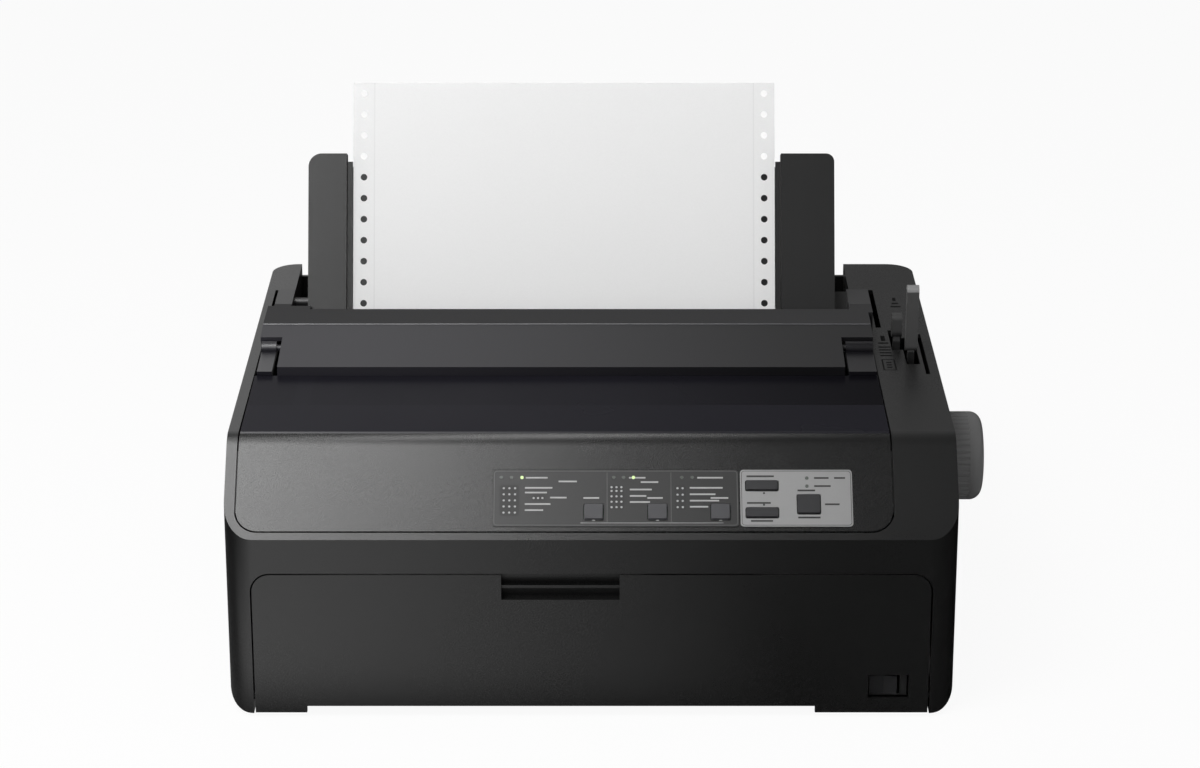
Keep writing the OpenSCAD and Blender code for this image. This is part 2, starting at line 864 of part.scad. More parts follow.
module exit_cover() {
    color([0.2, 0.19, 0.22]) place() {
        difference() {
            side(left_edge, opening_w)
                exit_profile();
            // notches for the window's arms
            slab(left_edge - 1, left_edge + notch_w[0], exit_front_y - 1, pivot_y + knuckle_r + 0.5,
                 ledge_z, exit_top_z + 1);
            slab(right_edge - notch_w[1], right_edge + 1, exit_front_y - 1, pivot_y + knuckle_r + 0.5,
                 ledge_z, exit_top_z + 1);
        }
        // corners that reach back to the arms
        slab(left_edge, left_guide_x - left_guide_w + 2, exit_rear_y - 4, exit_rear_y + 6,
             exit_top_z - exit_t, exit_top_z);
        slab(right_guide_x + right_guide_w + 9, right_edge, exit_rear_y - 4, exit_rear_y + 9,
             exit_top_z - exit_t, exit_top_z);
        // end blocks that stand on the case's ledges
        slab(left_edge + 0.2, left_edge + 4, pivot_y + knuckle_r + 0.5, exit_rear_y - 3, ledge_z,
             exit_top_z - exit_t - 0.6);
        slab(right_edge - 4, right_edge - 0.2, pivot_y + knuckle_r + 0.5, exit_rear_y - 3, ledge_z,
             exit_top_z - exit_t - 0.6);
        // inner cheeks that hold the window's pins
        slab(left_edge + notch_w[0], left_edge + notch_w[0] + exit_t, pivot_y - 6, pivot_y + 14,
             ledge_z + 1, exit_top_z - 4);
        slab(right_edge - notch_w[1] - exit_t, right_edge - notch_w[1], pivot_y - 6, pivot_y + 14,
             ledge_z + 1, exit_top_z - 4);
        rod(left_edge + 1.4, left_edge + notch_w[0] + 1, pivot_y, pivot_z, window_pin_r);
        rod(right_edge - notch_w[1] - 1, right_edge - 1.4, pivot_y, pivot_z, window_pin_r);
        // rear arms that carry the sheet guide
        for (i = [0, 1]) {
            slab(arm_x[i], arm_x[i] + arm_width[i], exit_rear_y - 6, guide_pivot_y + 9, deck_z, arm_top_z);
        }
        rod(arm_x[0] + 4, guide_x0 + 6, guide_pivot_y, guide_pivot_z, guide_pin_r);
        rod(guide_x1 - 6, arm_x[1] + arm_width[1] - 4, guide_pivot_y, guide_pivot_z, guide_pin_r);
    }
}

guide_pin_r = 2.5;
guide_pivot_y = paper_y + 14;
guide_pivot_z = 158;
arm_width = [10.2, 13.3];
arm_top_z = 163;
arm_x = [left_recess - 6.8, right_recess - 4.5];
guide_back = 3.4;
guide_x0 = arm_x[0] + arm_width[0] + 9.5;
guide_x1 = arm_x[1] - free_gap;
guide_low = -3;
edge_low = -0.4;
edge_clear = 3.5;
left_guide_x = paper_x - paper_w / 2 - edge_clear;
right_guide_x = paper_x + paper_w / 2 + edge_clear;
lip_w = 3;
rail_s = 28;
rail_w = 4;
rail_h = 1.6;
slide_gap = 0.1;

// Local frame of the paper's plane: x across, y up the lean, z towards the operator.
module sheet_guide() {
    color([0.1, 0.1, 0.11]) place()
        difference() {
            union() {
                on_paper()
                    translate([-paper_x, 0, 0]) {
                        translate([0, 0, -guide_back - guide_t])
                            linear_extrude(guide_t)
                                guide_outline();
                        // rails that the edge guides slide on
                        slab(guide_outer_x0 + 2, guide_outer_x1 - 2, rail_s, rail_s + rail_w,
                             -guide_back - 1, -guide_back + rail_h);
                    }
                // pivot barrels and their webs
                for (x = [guide_x0, guide_x1 - 12]) {
                    rod(x, x + 12, guide_pivot_y, guide_pivot_z, guide_pin_r + 2.4);
                    slab(x, x + 12, guide_pivot_y - 8, guide_pivot_y, guide_pivot_z - 2.4,
                         guide_pivot_z + 2.4);
                }
            }
            rod(guide_x0 - 1, guide_x0 + 8, guide_pivot_y, guide_pivot_z, guide_pin_r + run_gap);
            rod(guide_x1 - 8, guide_x1 + 1, guide_pivot_y, guide_pivot_z, guide_pin_r + run_gap);
        }
}

guide_outer_x0 = left_guide_x - left_guide_w + 3;
guide_outer_x1 = right_guide_x + right_guide_w - 3;

module guide_outline() {
    x0 = guide_outer_x0;
    x1 = guide_outer_x1;
    r = 6;
    translate([x0, guide_low + 12])
        square([x1 - x0, guide_len - 12 - r]);
    translate([x0 + r, guide_low + 12])
        square([x1 - x0 - 2 * r, guide_len - 12]);
    for (x = [x0 + r, x1 - r])
        translate([x, guide_low + guide_len - r])
            circle(r = r);
    translate([guide_x0, guide_low])
        square([guide_x1 - guide_x0, 14]);
}

module edge_guide_outline(x0, w, r) {
    // x0 is the inner side, w runs outwards and may be negative
    i = w > 0 ? 1 : -1;
    x1 = x0 + w;
    translate([min(x0, x1), edge_low])
        square([abs(w), edge_guide_len - r]);
    translate([min(x0, x1 - i * r), edge_low])
        square([abs(w) - r, edge_guide_len]);
    translate([x1 - i * r, edge_low + edge_guide_len - r])
        circle(r = r);
}

module left_edge_guide() {
    color([0.12, 0.12, 0.13]) place()
        edge_guide(left_guide_x, -left_guide_w, 8);
}

module right_edge_guide() {
    color([0.12, 0.12, 0.13]) place()
        edge_guide(right_guide_x, right_guide_w, 5);
}

module edge_guide(x0, w, r) {
    i = w > 0 ? 1 : -1;
    on_paper()
        translate([-paper_x, 0, 0])
            difference() {
                union() {
                    translate([0, 0, -guide_back + slide_gap])
                        linear_extrude(edge_guide_t)
                            edge_guide_outline(x0, w, r);
                    // thin lip beside the paper's edge
                    translate([i > 0 ? x0 - lip_w : x0 - 0.5, edge_low, -guide_back + slide_gap])
                        cube([lip_w + 0.5, edge_guide_len - 4, 2.2]);
                }
                slab(-half_w, half_w, rail_s - slide_gap, rail_s + rail_w + slide_gap, -guide_back - 1,
                     -guide_back + rail_h + slide_gap);
            }
}

// --- paper path
bend_start = 22;
wrap_r = platen_r + free_gap;
wrap_mid = wrap_r + paper_t / 2;
leave_y = platen_y - wrap_mid * sin(bend_start);
leave_z = platen_z + wrap_mid * cos(bend_start);
run_a = ((paper_y - leave_y) * (cos(bend_start) - cos(paper_angle))
       - (paper_z - leave_z) * (sin(paper_angle) - sin(bend_start)))
      / (cos(bend_start) * (cos(bend_start) - cos(paper_angle))
       - sin(bend_start) * (sin(paper_angle) - sin(bend_start)));
bend_mid = (paper_z - leave_z - run_a * sin(bend_start)) / (cos(bend_start) - cos(paper_angle));
bend_y = leave_y + run_a * cos(bend_start);
bend_z = leave_z + run_a * sin(bend_start);
bend_cy = bend_y - bend_mid * sin(bend_start);
bend_cz = bend_z + bend_mid * cos(bend_start);
// rear run: from the tractors down to the platen
rear_y = tractor_y - tractor_len + 6;
rear_mid = feed_z + paper_t / 2;
rear_dist = norm([rear_y - platen_y, rear_mid - platen_z]);
rear_tilt = asin(wrap_mid / rear_dist) - atan2(platen_z - rear_mid, rear_y - platen_y);
rear_run = sqrt(rear_dist * rear_dist - wrap_mid * wrap_mid);

// middle line of the sheet from its rear end to its top edge, each point with its heading
top_y = paper_y + paper_out * cos(paper_angle);
top_z = paper_z + paper_out * sin(paper_angle);
wrap_a0 = 270 + rear_tilt;
wrap_a1 = 90 + bend_start;
sheet_path = concat(
    [[body_d - 1, rear_mid, 180], [rear_y, rear_mid, 180 + rear_tilt / 2]],
    [for (k = [0 : 36])
        let (a = wrap_a0 + (wrap_a1 - wrap_a0) * k / 36)
            [platen_y + wrap_mid * cos(a), platen_z + wrap_mid * sin(a), a - 90]],
    [for (k = [0 : 12])
        let (a = bend_start + (paper_angle - bend_start) * k / 12)
            [bend_cy + bend_mid * sin(a), bend_cz - bend_mid * cos(a), a]],
    [[top_y, top_z, paper_angle]]);

function beside(p, d) = [p[0] - d * sin(p[2]), p[1] + d * cos(p[2])];

module feed_holes(y, z, angle, len) {
    translate([paper_x - paper_w / 2, y, z])
        rotate([angle, 0, 0])
            for (k = [0.5 : 1 : (len - hole_r - 1) / hole_pitch], x = [hole_edge, paper_w - hole_edge])
                translate([x, len - k * hole_pitch, -1])
                    cylinder(h = 2, r = hole_r);
}

module fanfold_paper() {
    n = len(sheet_path) - 1;
    color([0.95, 0.95, 0.93]) place()
        difference() {
            side(paper_x - paper_w / 2, paper_w)
                polygon(concat([for (p = sheet_path) beside(p, paper_t / 2)],
                               [for (k = [n : -1 : 0]) beside(sheet_path[k], -paper_t / 2)]));
            feed_holes(paper_y, paper_z, paper_angle, paper_out);
            feed_holes(rear_y, rear_mid, 0, body_d - 1 - rear_y);
        }
}

// --- frame
pan_z = floor_top;
pan_t = 1.6;
pan_top = pan_z + pan_t;
pan_x = 168;
pan_y0 = 24;
pan_y1 = body_d - 18;
motor_len = 28;
pulley_z = 46;
chute_gap = 1.5;
chute_t = 1.5;
pinch_r = 4;
pinch_shaft_r = 2;
pinch_dir = -78;
pinch_dist = platen_r + free_gap + paper_t + free_gap + pinch_r;
pinch_y = platen_y + pinch_dist * cos(pinch_dir);
pinch_z = platen_z + pinch_dist * sin(pinch_dir);
guide_rod_y = tractor_y - tractor_len / 2 + 6;
guide_rod_r = 2.5;
nose_y = tractor_y - tractor_len + 12;

module base_frame() {
    color([0.62, 0.63, 0.65]) place() {
        difference() {
            slab(-pan_x, pan_x, pan_y0, pan_y1, pan_z, pan_top);
            for (i = [0 : 5])
                translate([-120 + 48 * i, 150, 0])
                    cylinder(h = bench, r = 7);
            // notches round the case's screw bosses
            for (x = [-boss_x, boss_x], y = [boss_y0 + 40, boss_y1])
                translate([x, y, 0])
                    cylinder(h = bench, r = boss_r + 6);
        }
        // upturned flanges
        slab(-pan_x + 12, switch_x0 - 2, pan_y0, pan_y0 + pan_t, pan_z, pan_top + 14);
        slab(-90, 150, pan_y1 - pan_t, pan_y1, pan_z, pan_top + 10);
        // standoffs of the main board
        for (x = [-50, 112], y = [232, body_d - 32])
            translate([x, y, pan_top - 0.4])
                cylinder(h = board_z - pan_top + 0.4, r = 3);
        // post of the belt's idler
        translate([idler_pulley_x, belt_y, pan_top - 0.4])
            cylinder(h = pulley_z + pulley_w - pan_top + 2, r = 3);
        translate([idler_pulley_x, belt_y, pan_top - 0.4])
            cylinder(h = pulley_z - pan_top, r = 6);
    }
}

module frame_outline() {
    difference() {
        polygon([[50, pan_top], [50, 72], [84, 96], [126, 106], [204, 106], [232, 96], [306, 96], [312, 84],
                 [312, pan_top]]);
        for (y = [70, 140])
            translate([y, 26])
                square([34, 14]);
        translate([262, 22])
            square([34, 22]);
    }
}

module side_frame(x0) {
    difference() {
        side(x0, frame_t)
            frame_outline();
        rod(x0 - 1, x0 + frame_t + 1, platen_y, platen_z, platen_shaft_r + run_gap);
        rod(x0 - 1, x0 + frame_t + 1, shaft_y, shaft_z, guide_shaft_r);
        rod(x0 - 1, x0 + frame_t + 1, pinch_y, pinch_z, pinch_shaft_r + run_gap);
        rod(x0 - 1, x0 + frame_t + 1, tractor_y, tractor_z, drive_shaft_r + run_gap);
        rod(x0 - 1, x0 + frame_t + 1, guide_rod_y, tractor_z, guide_rod_r);
    }
    // foot flange on the pan
    i = x0 < 0 ? 1 : -1;
    f0 = x0 < 0 ? x0 : x0 + frame_t - 10;
    slab(f0, f0 + 10, 110, 200, pan_top, pan_top + frame_t);
}

module left_side_frame() {
    color([0.66, 0.67, 0.69]) place() {
        difference() {
            side_frame(frame_x0);
            rod(frame_x0 - 1, frame_x0 + frame_t + 1, pinion_y, pinion_z, pinion_gear_r + 2);
        }
        // stub axles of the gear train
        rod(gear_x - 1, frame_x0 + 0.5, idler_y, idler_z, drive_shaft_r);
        rod(gear_x - 1, frame_x0 + 0.5, transfer_y, transfer_z, drive_shaft_r);
    }
}

module right_side_frame() {
    color([0.66, 0.67, 0.69]) place()
        side_frame(frame_x1);
}

module lever_bracket() {
    color([0.6, 0.61, 0.63]) place() {
        slab(150, bracket_x + frame_t, 160, 205, pan_top, pan_top + frame_t);
        difference() {
            slab(bracket_x, bracket_x + frame_t, 160, 205, pan_top, lever_pivot_z + 12);
            for (y = [170, 196])
                rod(bracket_x - 1, bracket_x + 3, y, 26, 5);
        }
        rod(bracket_x, lever_x + lever_w / 2 + 3, lever_pivot_y, lever_pivot_z, lever_pin_r);
        rod(lever_x + lever_w / 2 + 1, lever_x + lever_w / 2 + 3, lever_pivot_y, lever_pivot_z,
            lever_pin_r + 1.5);
    }
}

module blade(x, w, y1, z1, r1, foot) {
    // thin stem from the pivot, then a thick paddle that ends above the deck
    dy = y1 - lever_pivot_y;
    dz = z1 - lever_pivot_z;
    len = norm([dy, dz]);
    ny = -dz / len * r1;
    nz = dy / len * r1;
    zf = foot + r1;
    yf = lever_pivot_y + dy * (zf - lever_pivot_z) / dz;
    difference() {
        union() {
            rod(x - w / 2, x + w / 2, lever_pivot_y, lever_pivot_z, 6.6);
            side(x - 2, 4)
                polygon([[lever_pivot_y - 2, lever_pivot_z], [yf - 2, zf], [yf + 2, zf],
                         [lever_pivot_y + 2, lever_pivot_z]]);
            side(x - w / 2, w)
                polygon([[yf - ny, zf - nz], [y1 - ny, z1 - nz], [y1 + ny, z1 + nz], [yf + ny, zf + nz]]);
            rod(x - w / 2, x + w / 2, yf, zf, r1);
            rod(x - w / 2, x + w / 2, y1, z1, r1);
        }
        rod(x - w, x + w, lever_pivot_y, lever_pivot_z, lever_pin_r + run_gap);
    }
}

module release_lever() {
    color([0.42, 0.43, 0.44]) place()
        blade(lever_x, lever_w, lever_y, lever_tip_z - 3.4, 3.4, deck_z + 2);
}

module thickness_lever() {
    color([0.3, 0.3, 0.31]) place()
        blade(tab_x, tab_w, tab_y + 2, tab_tip_z - 4, 4, deck_z + 3.4);
}

// --- platen and paper feed
module platen_shaft() {
    color([0.75, 0.76, 0.78]) place() {
        rod(gear_x - 1.5, half_w + knob_reach - 5, platen_y, platen_z, platen_shaft_r);
        gear_at(gear_x, platen_y, platen_z, platen_teeth, platen_phase, platen_shaft_r - 0.5);
    }
}

module platen_roller() {
    color([0.07, 0.07, 0.07]) place()
        difference() {
            rod(platen_x0, platen_x1, platen_y, platen_z, platen_r);
            rod(platen_x0 - 1, platen_x1 + 1, platen_y, platen_z, platen_shaft_r);
        }
}

knob_ribs = 44;
knob_edge_r = 7;

module platen_knob() {
    color([0.4, 0.41, 0.42]) place()
        translate([half_w + knob_reach - knob_w, platen_y, platen_z])
            rotate([0, 90, 0])
                difference() {
                    rotate_extrude()
                        difference() {
                            union() {
                                square([knob_r, knob_w - knob_edge_r]);
                                square([knob_r - knob_edge_r, knob_w]);
                                translate([knob_r - knob_edge_r, knob_w - knob_edge_r])
                                    circle(r = knob_edge_r);
                            }
                            translate([-knob_r, -1])
                                square([knob_r, 2 * knob_w]);
                        }
                    translate([0, 0, -1])
                        cylinder(h = knob_w - 4, r = platen_shaft_r);
                    for (i = [0 : knob_ribs - 1])
                        rotate([0, 0, i * 360 / knob_ribs])
                            translate([knob_r + 0.5, 0, -1])
                                cylinder(h = knob_w - knob_edge_r - 0.6, r = 1.1);
                }
}

module reduction_gear() {
    color([0.88, 0.87, 0.82]) place()
        gear_at(gear_x, idler_y, idler_z, idler_teeth, idler_phase, drive_shaft_r + run_gap);
}

module transfer_gear() {
    color([0.85, 0.85, 0.8]) place()
        gear_at(gear_x, transfer_y, transfer_z, transfer_teeth, transfer_phase, drive_shaft_r + run_gap);
}

module feed_pinion() {
    color([0.8, 0.72, 0.45]) place() {
        translate([gear_x, pinion_y, pinion_z])
            rotate([90, 0, 90])
                spur(pinion_teeth, gear_w, pinion_phase, 1.5);
        rod(gear_x - 1, frame_x0 + frame_t + 9, pinion_y, pinion_z, 1.5);
    }
}

module feed_motor() {
    color([0.25, 0.25, 0.27]) place()
        difference() {
            union() {
                rod(frame_x0 + frame_t, frame_x0 + frame_t + motor_len, pinion_y, pinion_z, feed_motor_r);
                slab(frame_x0 + frame_t, frame_x0 + frame_t + 2, pinion_y - feed_motor_r - 5,
                     pinion_y + feed_motor_r + 5, pinion_z - 9, pinion_z + 9);
            }
            rod(frame_x0 + frame_t - 1, frame_x0 + frame_t + 10, pinion_y, pinion_z, 1.5 + run_gap);
            rod(frame_x0 + frame_t - 1, frame_x0 + frame_t + 1, pinion_y, pinion_z, 5);
        }
}

tractor_x = [paper_x - paper_w / 2 + hole_edge, paper_x + paper_w / 2 - hole_edge];
belt_w = 8;

module tractor_drive() {
    color([0.78, 0.78, 0.75]) place() {
        rod(gear_x - 1, frame_x1 + frame_t + 2, tractor_y, tractor_z, drive_shaft_r);
        gear_at(gear_x, tractor_y, tractor_z, tractor_teeth, tractor_phase, drive_shaft_r - 0.5);
        for (x = tractor_x)
            rod(x - belt_w / 2, x + belt_w / 2, tractor_y, tractor_z, tractor_pulley_r);
    }
}

module tractor_guide_shaft() {
    color([0.75, 0.76, 0.78]) place()
        rod(frame_x0, frame_x1 + frame_t, guide_rod_y, tractor_z, guide_rod_r);
}

module loop_outline(r) {
    translate([nose_y, tractor_z])
        circle(r = r);
    translate([tractor_y, tractor_z])
        circle(r = r);
    translate([nose_y, tractor_z - r])
        square([tractor_y - nose_y, 2 * r]);
}

cheek_t = 3;
cheek_gap = 0.8;
hinge_r = 1.5;
hinge_z = feed_z + 3.4;
lid_t = 1.6;
lid_z = feed_z + paper_t + tractor_pin_h + 0.7;

module tractor(i) {
    x = tractor_x[i];
    out = i == 0 ? -1 : 1;
    inner = belt_w / 2 + cheek_gap;
    difference() {
        union() {
            for (k = [-1, 1])
                side(k > 0 ? x + inner : x - inner - cheek_t, cheek_t)
                    loop_outline(tractor_pulley_r + 0.4);
            // fixed nose inside the belt
            rod(x - inner - 0.5, x + inner + 0.5, nose_y, tractor_z, tractor_pulley_r);
            rod(x - inner - 0.5, x + inner + 0.5, guide_rod_y, tractor_z, guide_rod_r + 2);
            // lugs of the lid's hinge
            for (y = [nose_y - 8, tractor_y + 5])
                slab(min(x + out * (inner + 1), x + out * (inner + cheek_t + 3.6)),
                     max(x + out * (inner + 1), x + out * (inner + cheek_t + 3.6)),
                     y, y + 3, tractor_z + 2, hinge_z + hinge_r + 1);
        }
        rod(x - belt_w * 2, x + belt_w * 2, guide_rod_y, tractor_z, guide_rod_r);
        rod(x - belt_w * 2, x + belt_w * 2, tractor_y, tractor_z, drive_shaft_r + 0.3);
        translate([tractor_hinge_x(i), nose_y - 10, hinge_z])
            rotate([-90, 0, 0])
                cylinder(h = tractor_y - nose_y + 24, r = hinge_r + run_gap);
        // room for the paper's edge
        slab(min(x - out * 20, x + out * (hole_edge + 0.4)), max(x - out * 20, x + out * (hole_edge + 0.4)),
             nose_y - 20, tractor_y + 30, feed_z - free_gap, feed_z + 0.5);
    }
}

function tractor_hinge_x(i) = tractor_x[i] + (i == 0 ? -1 : 1) * (belt_w / 2 + cheek_gap + cheek_t + 1.4);

module left_tractor() {
    color([0.2, 0.2, 0.21]) place()
        tractor(0);
}

module right_tractor() {
    color([0.2, 0.2, 0.21]) place()
        tractor(1);
}

module pin_belt(i) {
    x = tractor_x[i];
    inner = tractor_pulley_r + free_gap;
    side(x - belt_w / 2, belt_w)
        difference() {
            loop_outline(inner + tractor_belt_t);
            loop_outline(inner);
        }
    for (k = [0 : 2])
        translate([x, body_d - 1 - (k + pin_k0 + 0.5) * hole_pitch, tractor_z + inner + 0.5])
            cylinder(h = tractor_belt_t + tractor_pin_h, r = tractor_pin_r);
    for (k = [0 : 2])
        translate([x, body_d - 1 - (k + pin_k0 + 0.5) * hole_pitch, tractor_z - inner - tractor_belt_t - tractor_pin_h])
            cylinder(h = tractor_belt_t + tractor_pin_h - 0.5, r = tractor_pin_r);
}

module pin_belts() {
    color([0.1, 0.1, 0.1]) place() {
        pin_belt(0);
        pin_belt(1);
    }
}

module tractor_lid(i) {
    hx = tractor_hinge_x(i);
    x = tractor_x[i];
    out = i == 0 ? -1 : 1;
    translate([hx, nose_y - 7.6, hinge_z])
        rotate([-90, 0, 0])
            cylinder(h = tractor_y - nose_y + 15.2, r = hinge_r);
    difference() {
        slab(min(hx, x - out * 8), max(hx, x - out * 8), nose_y - 4.6, tractor_y + 4.6, lid_z, lid_z + lid_t);
        slab(x - 2.6, x + 2.6, nose_y, tractor_y + 1, lid_z - 1, lid_z + lid_t + 1);
    }
}

module left_tractor_lid() {
    color([0.24, 0.24, 0.25]) place()
        tractor_lid(0);
}

module right_tractor_lid() {
    color([0.24, 0.24, 0.25]) place()
        tractor_lid(1);
}

module paper_chute() {
    color([0.2, 0.2, 0.21]) place()
        translate([0, rear_y, rear_mid])
            rotate([rear_tilt, 0, 0])
                difference() {
                    slab(frame_x0 + frame_t, frame_x1, -rear_run + 14, -14, -chute_gap - chute_t, -chute_gap);
                    for (i = [0 : 9])
                        slab(-140 + 27 * i, -132 + 27 * i, -rear_run + 20, -20, -bench / 4, 0);
                }
}

module pinch_rollers() {
    color([0.15, 0.15, 0.15]) place() {
        rod(frame_x0 - 1, frame_x1 + frame_t + 1, pinch_y, pinch_z, pinch_shaft_r);
        for (x = [-120, -55, 10, 75])
            rod(x, x + 22, pinch_y, pinch_z, pinch_r);
    }
}

// --- carriage
module carriage_shaft() {
    color([0.8, 0.81, 0.83]) place()
        rod(frame_x0, frame_x1 + frame_t, shaft_y, shaft_z, guide_shaft_r);
}

module carriage_rail() {
    color([0.7, 0.71, 0.73]) place() {
        slab(frame_x0 + frame_t, frame_x1, rail_y - 8, rail_y + 8, rail_z, rail_z + 1.6);
        slab(frame_x0 + frame_t, frame_x1, rail_y - 8, rail_y - 6.4, rail_z - 12, rail_z + 1.6);
    }
}

module carriage() {
    half = carriage_w / 2;
    color([0.16, 0.16, 0.17]) place()
        translate([head_x, 0, 0])
            difference() {
                union() {
                    slab(-half, half, rail_y + 12, shaft_y + 14, shaft_z - 8, shaft_z + 12);
                    slab(-half + 10, half - 10, rail_y - 7, rail_y + 13, rail_z + 1.9, rail_z + 8);
                    slab(-20, 20, rail_y - 2, rail_y + 10, rail_z + 7, cart_z);
                    slab(-8, 8, belt_y - 13, belt_y - 5, pulley_z - 2, shaft_z);
                }
                rod(-half - 1, half + 1, shaft_y, shaft_z, guide_shaft_r + run_gap);
                slab(-9, 9, belt_y - pulley_r - belt_t - free_gap, belt_y - pulley_r + free_gap,
                     pulley_z - 3, pulley_z + pulley_w - 0.4);
                // relief under the guide shaft
                slab(-half + 12, half - 12, shaft_y - 10, shaft_y + 10, shaft_z - 12, shaft_z - 2);
            }
}

cart_z = 80;
cart_h = 20;
ribbon_y = platen_y - platen_r - free_gap - paper_t - 0.6;

module print_head() {
    color([0.5, 0.5, 0.52]) place()
        translate([head_x, 0, 0]) {
            difference() {
                slab(-17, 17, shaft_y - 26, shaft_y + 8, shaft_z + 12, shaft_z + 42);
                // cooling fins
                for (i = [0 : 5])
                    slab(-18, 18, shaft_y - 23 + i * 5, shaft_y - 20.6 + i * 5, shaft_z + 20, shaft_z + 43);
            }
            slab(-8, 8, shaft_y + 7, ribbon_y - 6, platen_z - 8, platen_z + 8);
            slab(-3, 3, ribbon_y - 7, ribbon_y - 0.3, platen_z - 6, platen_z + 6);
        }
}

module ribbon_cartridge() {
    half = ribbon_w / 2;
    color([0.1, 0.1, 0.11]) place()
        translate([head_x, 0, 0]) {
            slab(-half + 3, half - 3, ribbon_y - eps, ribbon_y + 0.2, platen_z - 5, platen_z + 5);
            difference() {
                union() {
                    slab(-half, half, rail_y - 10, rail_y + 16, cart_z, cart_z + cart_h);
                    for (k = [-1, 1])
                        scale_x(k)
                            slab(half - 8, half, rail_y + 15, ribbon_y, cart_z + 4, cart_z + cart_h - 2);
                }
                translate([-20, rail_y + 2, cart_z + cart_h - 8])
                    cylinder(h = 10, r = 3 + run_gap);
            }
        }
}

module ribbon_knob() {
    color([0.35, 0.35, 0.36]) place()
        translate([head_x - 20, rail_y + 2, cart_z + cart_h])
            difference() {
                union() {
                    translate([0, 0, free_gap])
                        cylinder(h = 6, r = 7);
                    translate([0, 0, -7.5])
                        cylinder(h = 9, r = 3);
                }
                for (i = [0 : 11])
                    rotate([0, 0, i * 30])
                        translate([7.4, 0, -1])
                            cylinder(h = 10, r = 1.1);
            }
}

module carriage_motor() {
    color([0.25, 0.25, 0.27]) place()
        difference() {
            union() {
                translate([motor_pulley_x, belt_y, pan_top])
                    cylinder(h = motor_len + 6, r = carriage_motor_r);
                translate([motor_pulley_x, belt_y, pan_top])
                    linear_extrude(2)
                        round_rect(38, 34, 4);
            }
            translate([motor_pulley_x, belt_y, pan_top + 20])
                cylinder(h = bench, r = 1.5 + run_gap);
        }
}

module motor_pulley() {
    color([0.78, 0.78, 0.74]) place()
        translate([motor_pulley_x, belt_y, 0]) {
            translate([0, 0, pulley_z - 1])
                cylinder(h = pulley_w + 2, r = pulley_r - free_gap);
            translate([0, 0, pan_top + 24])
                cylinder(h = pulley_z - pan_top - 24, r = 1.5);
        }
}

module idler_pulley() {
    color([0.78, 0.78, 0.74]) place()
        translate([idler_pulley_x, belt_y, pulley_z - 0.2])
            difference() {
                cylinder(h = pulley_w + 1, r = pulley_r - free_gap);
                translate([0, 0, -1])
                    cylinder(h = bench, r = 3 + run_gap);
            }
}

module carriage_belt() {
    color([0.05, 0.05, 0.05]) place()
        translate([0, 0, pulley_z + 0.4])
            linear_extrude(pulley_w - 1.4)
                difference() {
                    belt_outline(pulley_r + belt_t);
                    belt_outline(pulley_r);
                }
}

module belt_outline(r) {
    translate([idler_pulley_x, belt_y])
        circle(r = r);
    translate([motor_pulley_x, belt_y])
        circle(r = r);
    translate([idler_pulley_x, belt_y - r])
        square([motor_pulley_x - idler_pulley_x, 2 * r]);
}

// --- electrics
module main_board() {
    color([0.1, 0.38, 0.2]) place() {
        slab(-58, 118, 224, body_d - 8, board_z, board_z + board_t);
        for (i = [0 : 3])
            slab(-44 + i * 30, -26 + i * 30, 246, 262, board_z + board_t - 0.2, board_z + board_t + 3);
        for (i = [0 : 4])
            translate([-40 + i * 22, 288, board_z + board_t - 0.2])
                cylinder(h = 10, r = 4);
    }
}

module power_supply() {
    color([0.45, 0.36, 0.2]) place() {
        slab(-146, -66, 236, body_d - 24, pan_top + 5, pan_top + 5 + board_t);
        slab(-134, -94, 244, 280, pan_top + 6, pan_top + 34);
        for (i = [0 : 2])
            translate([-84, 250 + 18 * i, pan_top + 6])
                cylinder(h = 24, r = 7);
        // feet and the post under the inlet
        for (x = [-142, -76], y = [240, body_d - 32])
            slab(x, x + 6, y, y + 6, pan_top, pan_top + 5.5);
        slab(inlet_x - 8, inlet_x + 8, body_d - 40, body_d - 26, pan_top + 6, inlet_z - inlet_h / 2);
    }
}

module power_inlet() {
    mouth_w = 24.2;
    mouth_h = 16.4;
    color([0.08, 0.08, 0.09]) place() {
        difference() {
            union() {
                slab(inlet_x - inlet_w / 2, inlet_x + inlet_w / 2, body_d - 40, body_d, inlet_z - inlet_h / 2,
                     inlet_z + inlet_h / 2);
                slab(inlet_x - inlet_w / 2 - 2, inlet_x + inlet_w / 2 + 2, body_d - wall - 3, body_d - wall,
                     inlet_z - inlet_h / 2 - 2, inlet_z + inlet_h / 2 + 2);
            }
            slab(inlet_x - mouth_w / 2, inlet_x + mouth_w / 2, body_d - 18, body_d + 1, inlet_z - mouth_h / 2,
                 inlet_z + mouth_h / 2);
        }
        for (k = [-1, 0, 1])
            slab(inlet_x + k * 7 - 1, inlet_x + k * 7 + 1, body_d - 19, body_d - 3,
                 inlet_z - 2 + (k == 0 ? 2 : -2), inlet_z + 2 + (k == 0 ? 2 : -2));
    }
}

module socket(x, z, w, h, d, lip, tongue) {
    difference() {
        slab(x - w / 2, x + w / 2, body_d - d, body_d, z - h / 2, z + h / 2);
        slab(x - w / 2 + lip, x + w / 2 - lip, body_d - 10, body_d + 1, z - h / 2 + lip, z + h / 2 - lip);
    }
    slab(x - w / 2 + 2 * lip, x + w / 2 - 2 * lip, body_d - 11, body_d - 1.5, z - tongue, z + tongue);
}

module interface_ports() {
    color([0.6, 0.61, 0.63]) place() {
        socket(port_x, port_z, port_w, port_h, 22, 3.4, 1.8);
        socket(usb_x, usb_z, usb_w, usb_h, 18, 1.6, 1.2);
    }
}

switch_x = 162.2;
switch_z = (switch_z0 + switch_z1) / 2;
rocker_w = 15.6;
rocker_h = 10.8;
rocker_y = 10;
rocker_gap = 0.5;
rocker_tilt = 7;

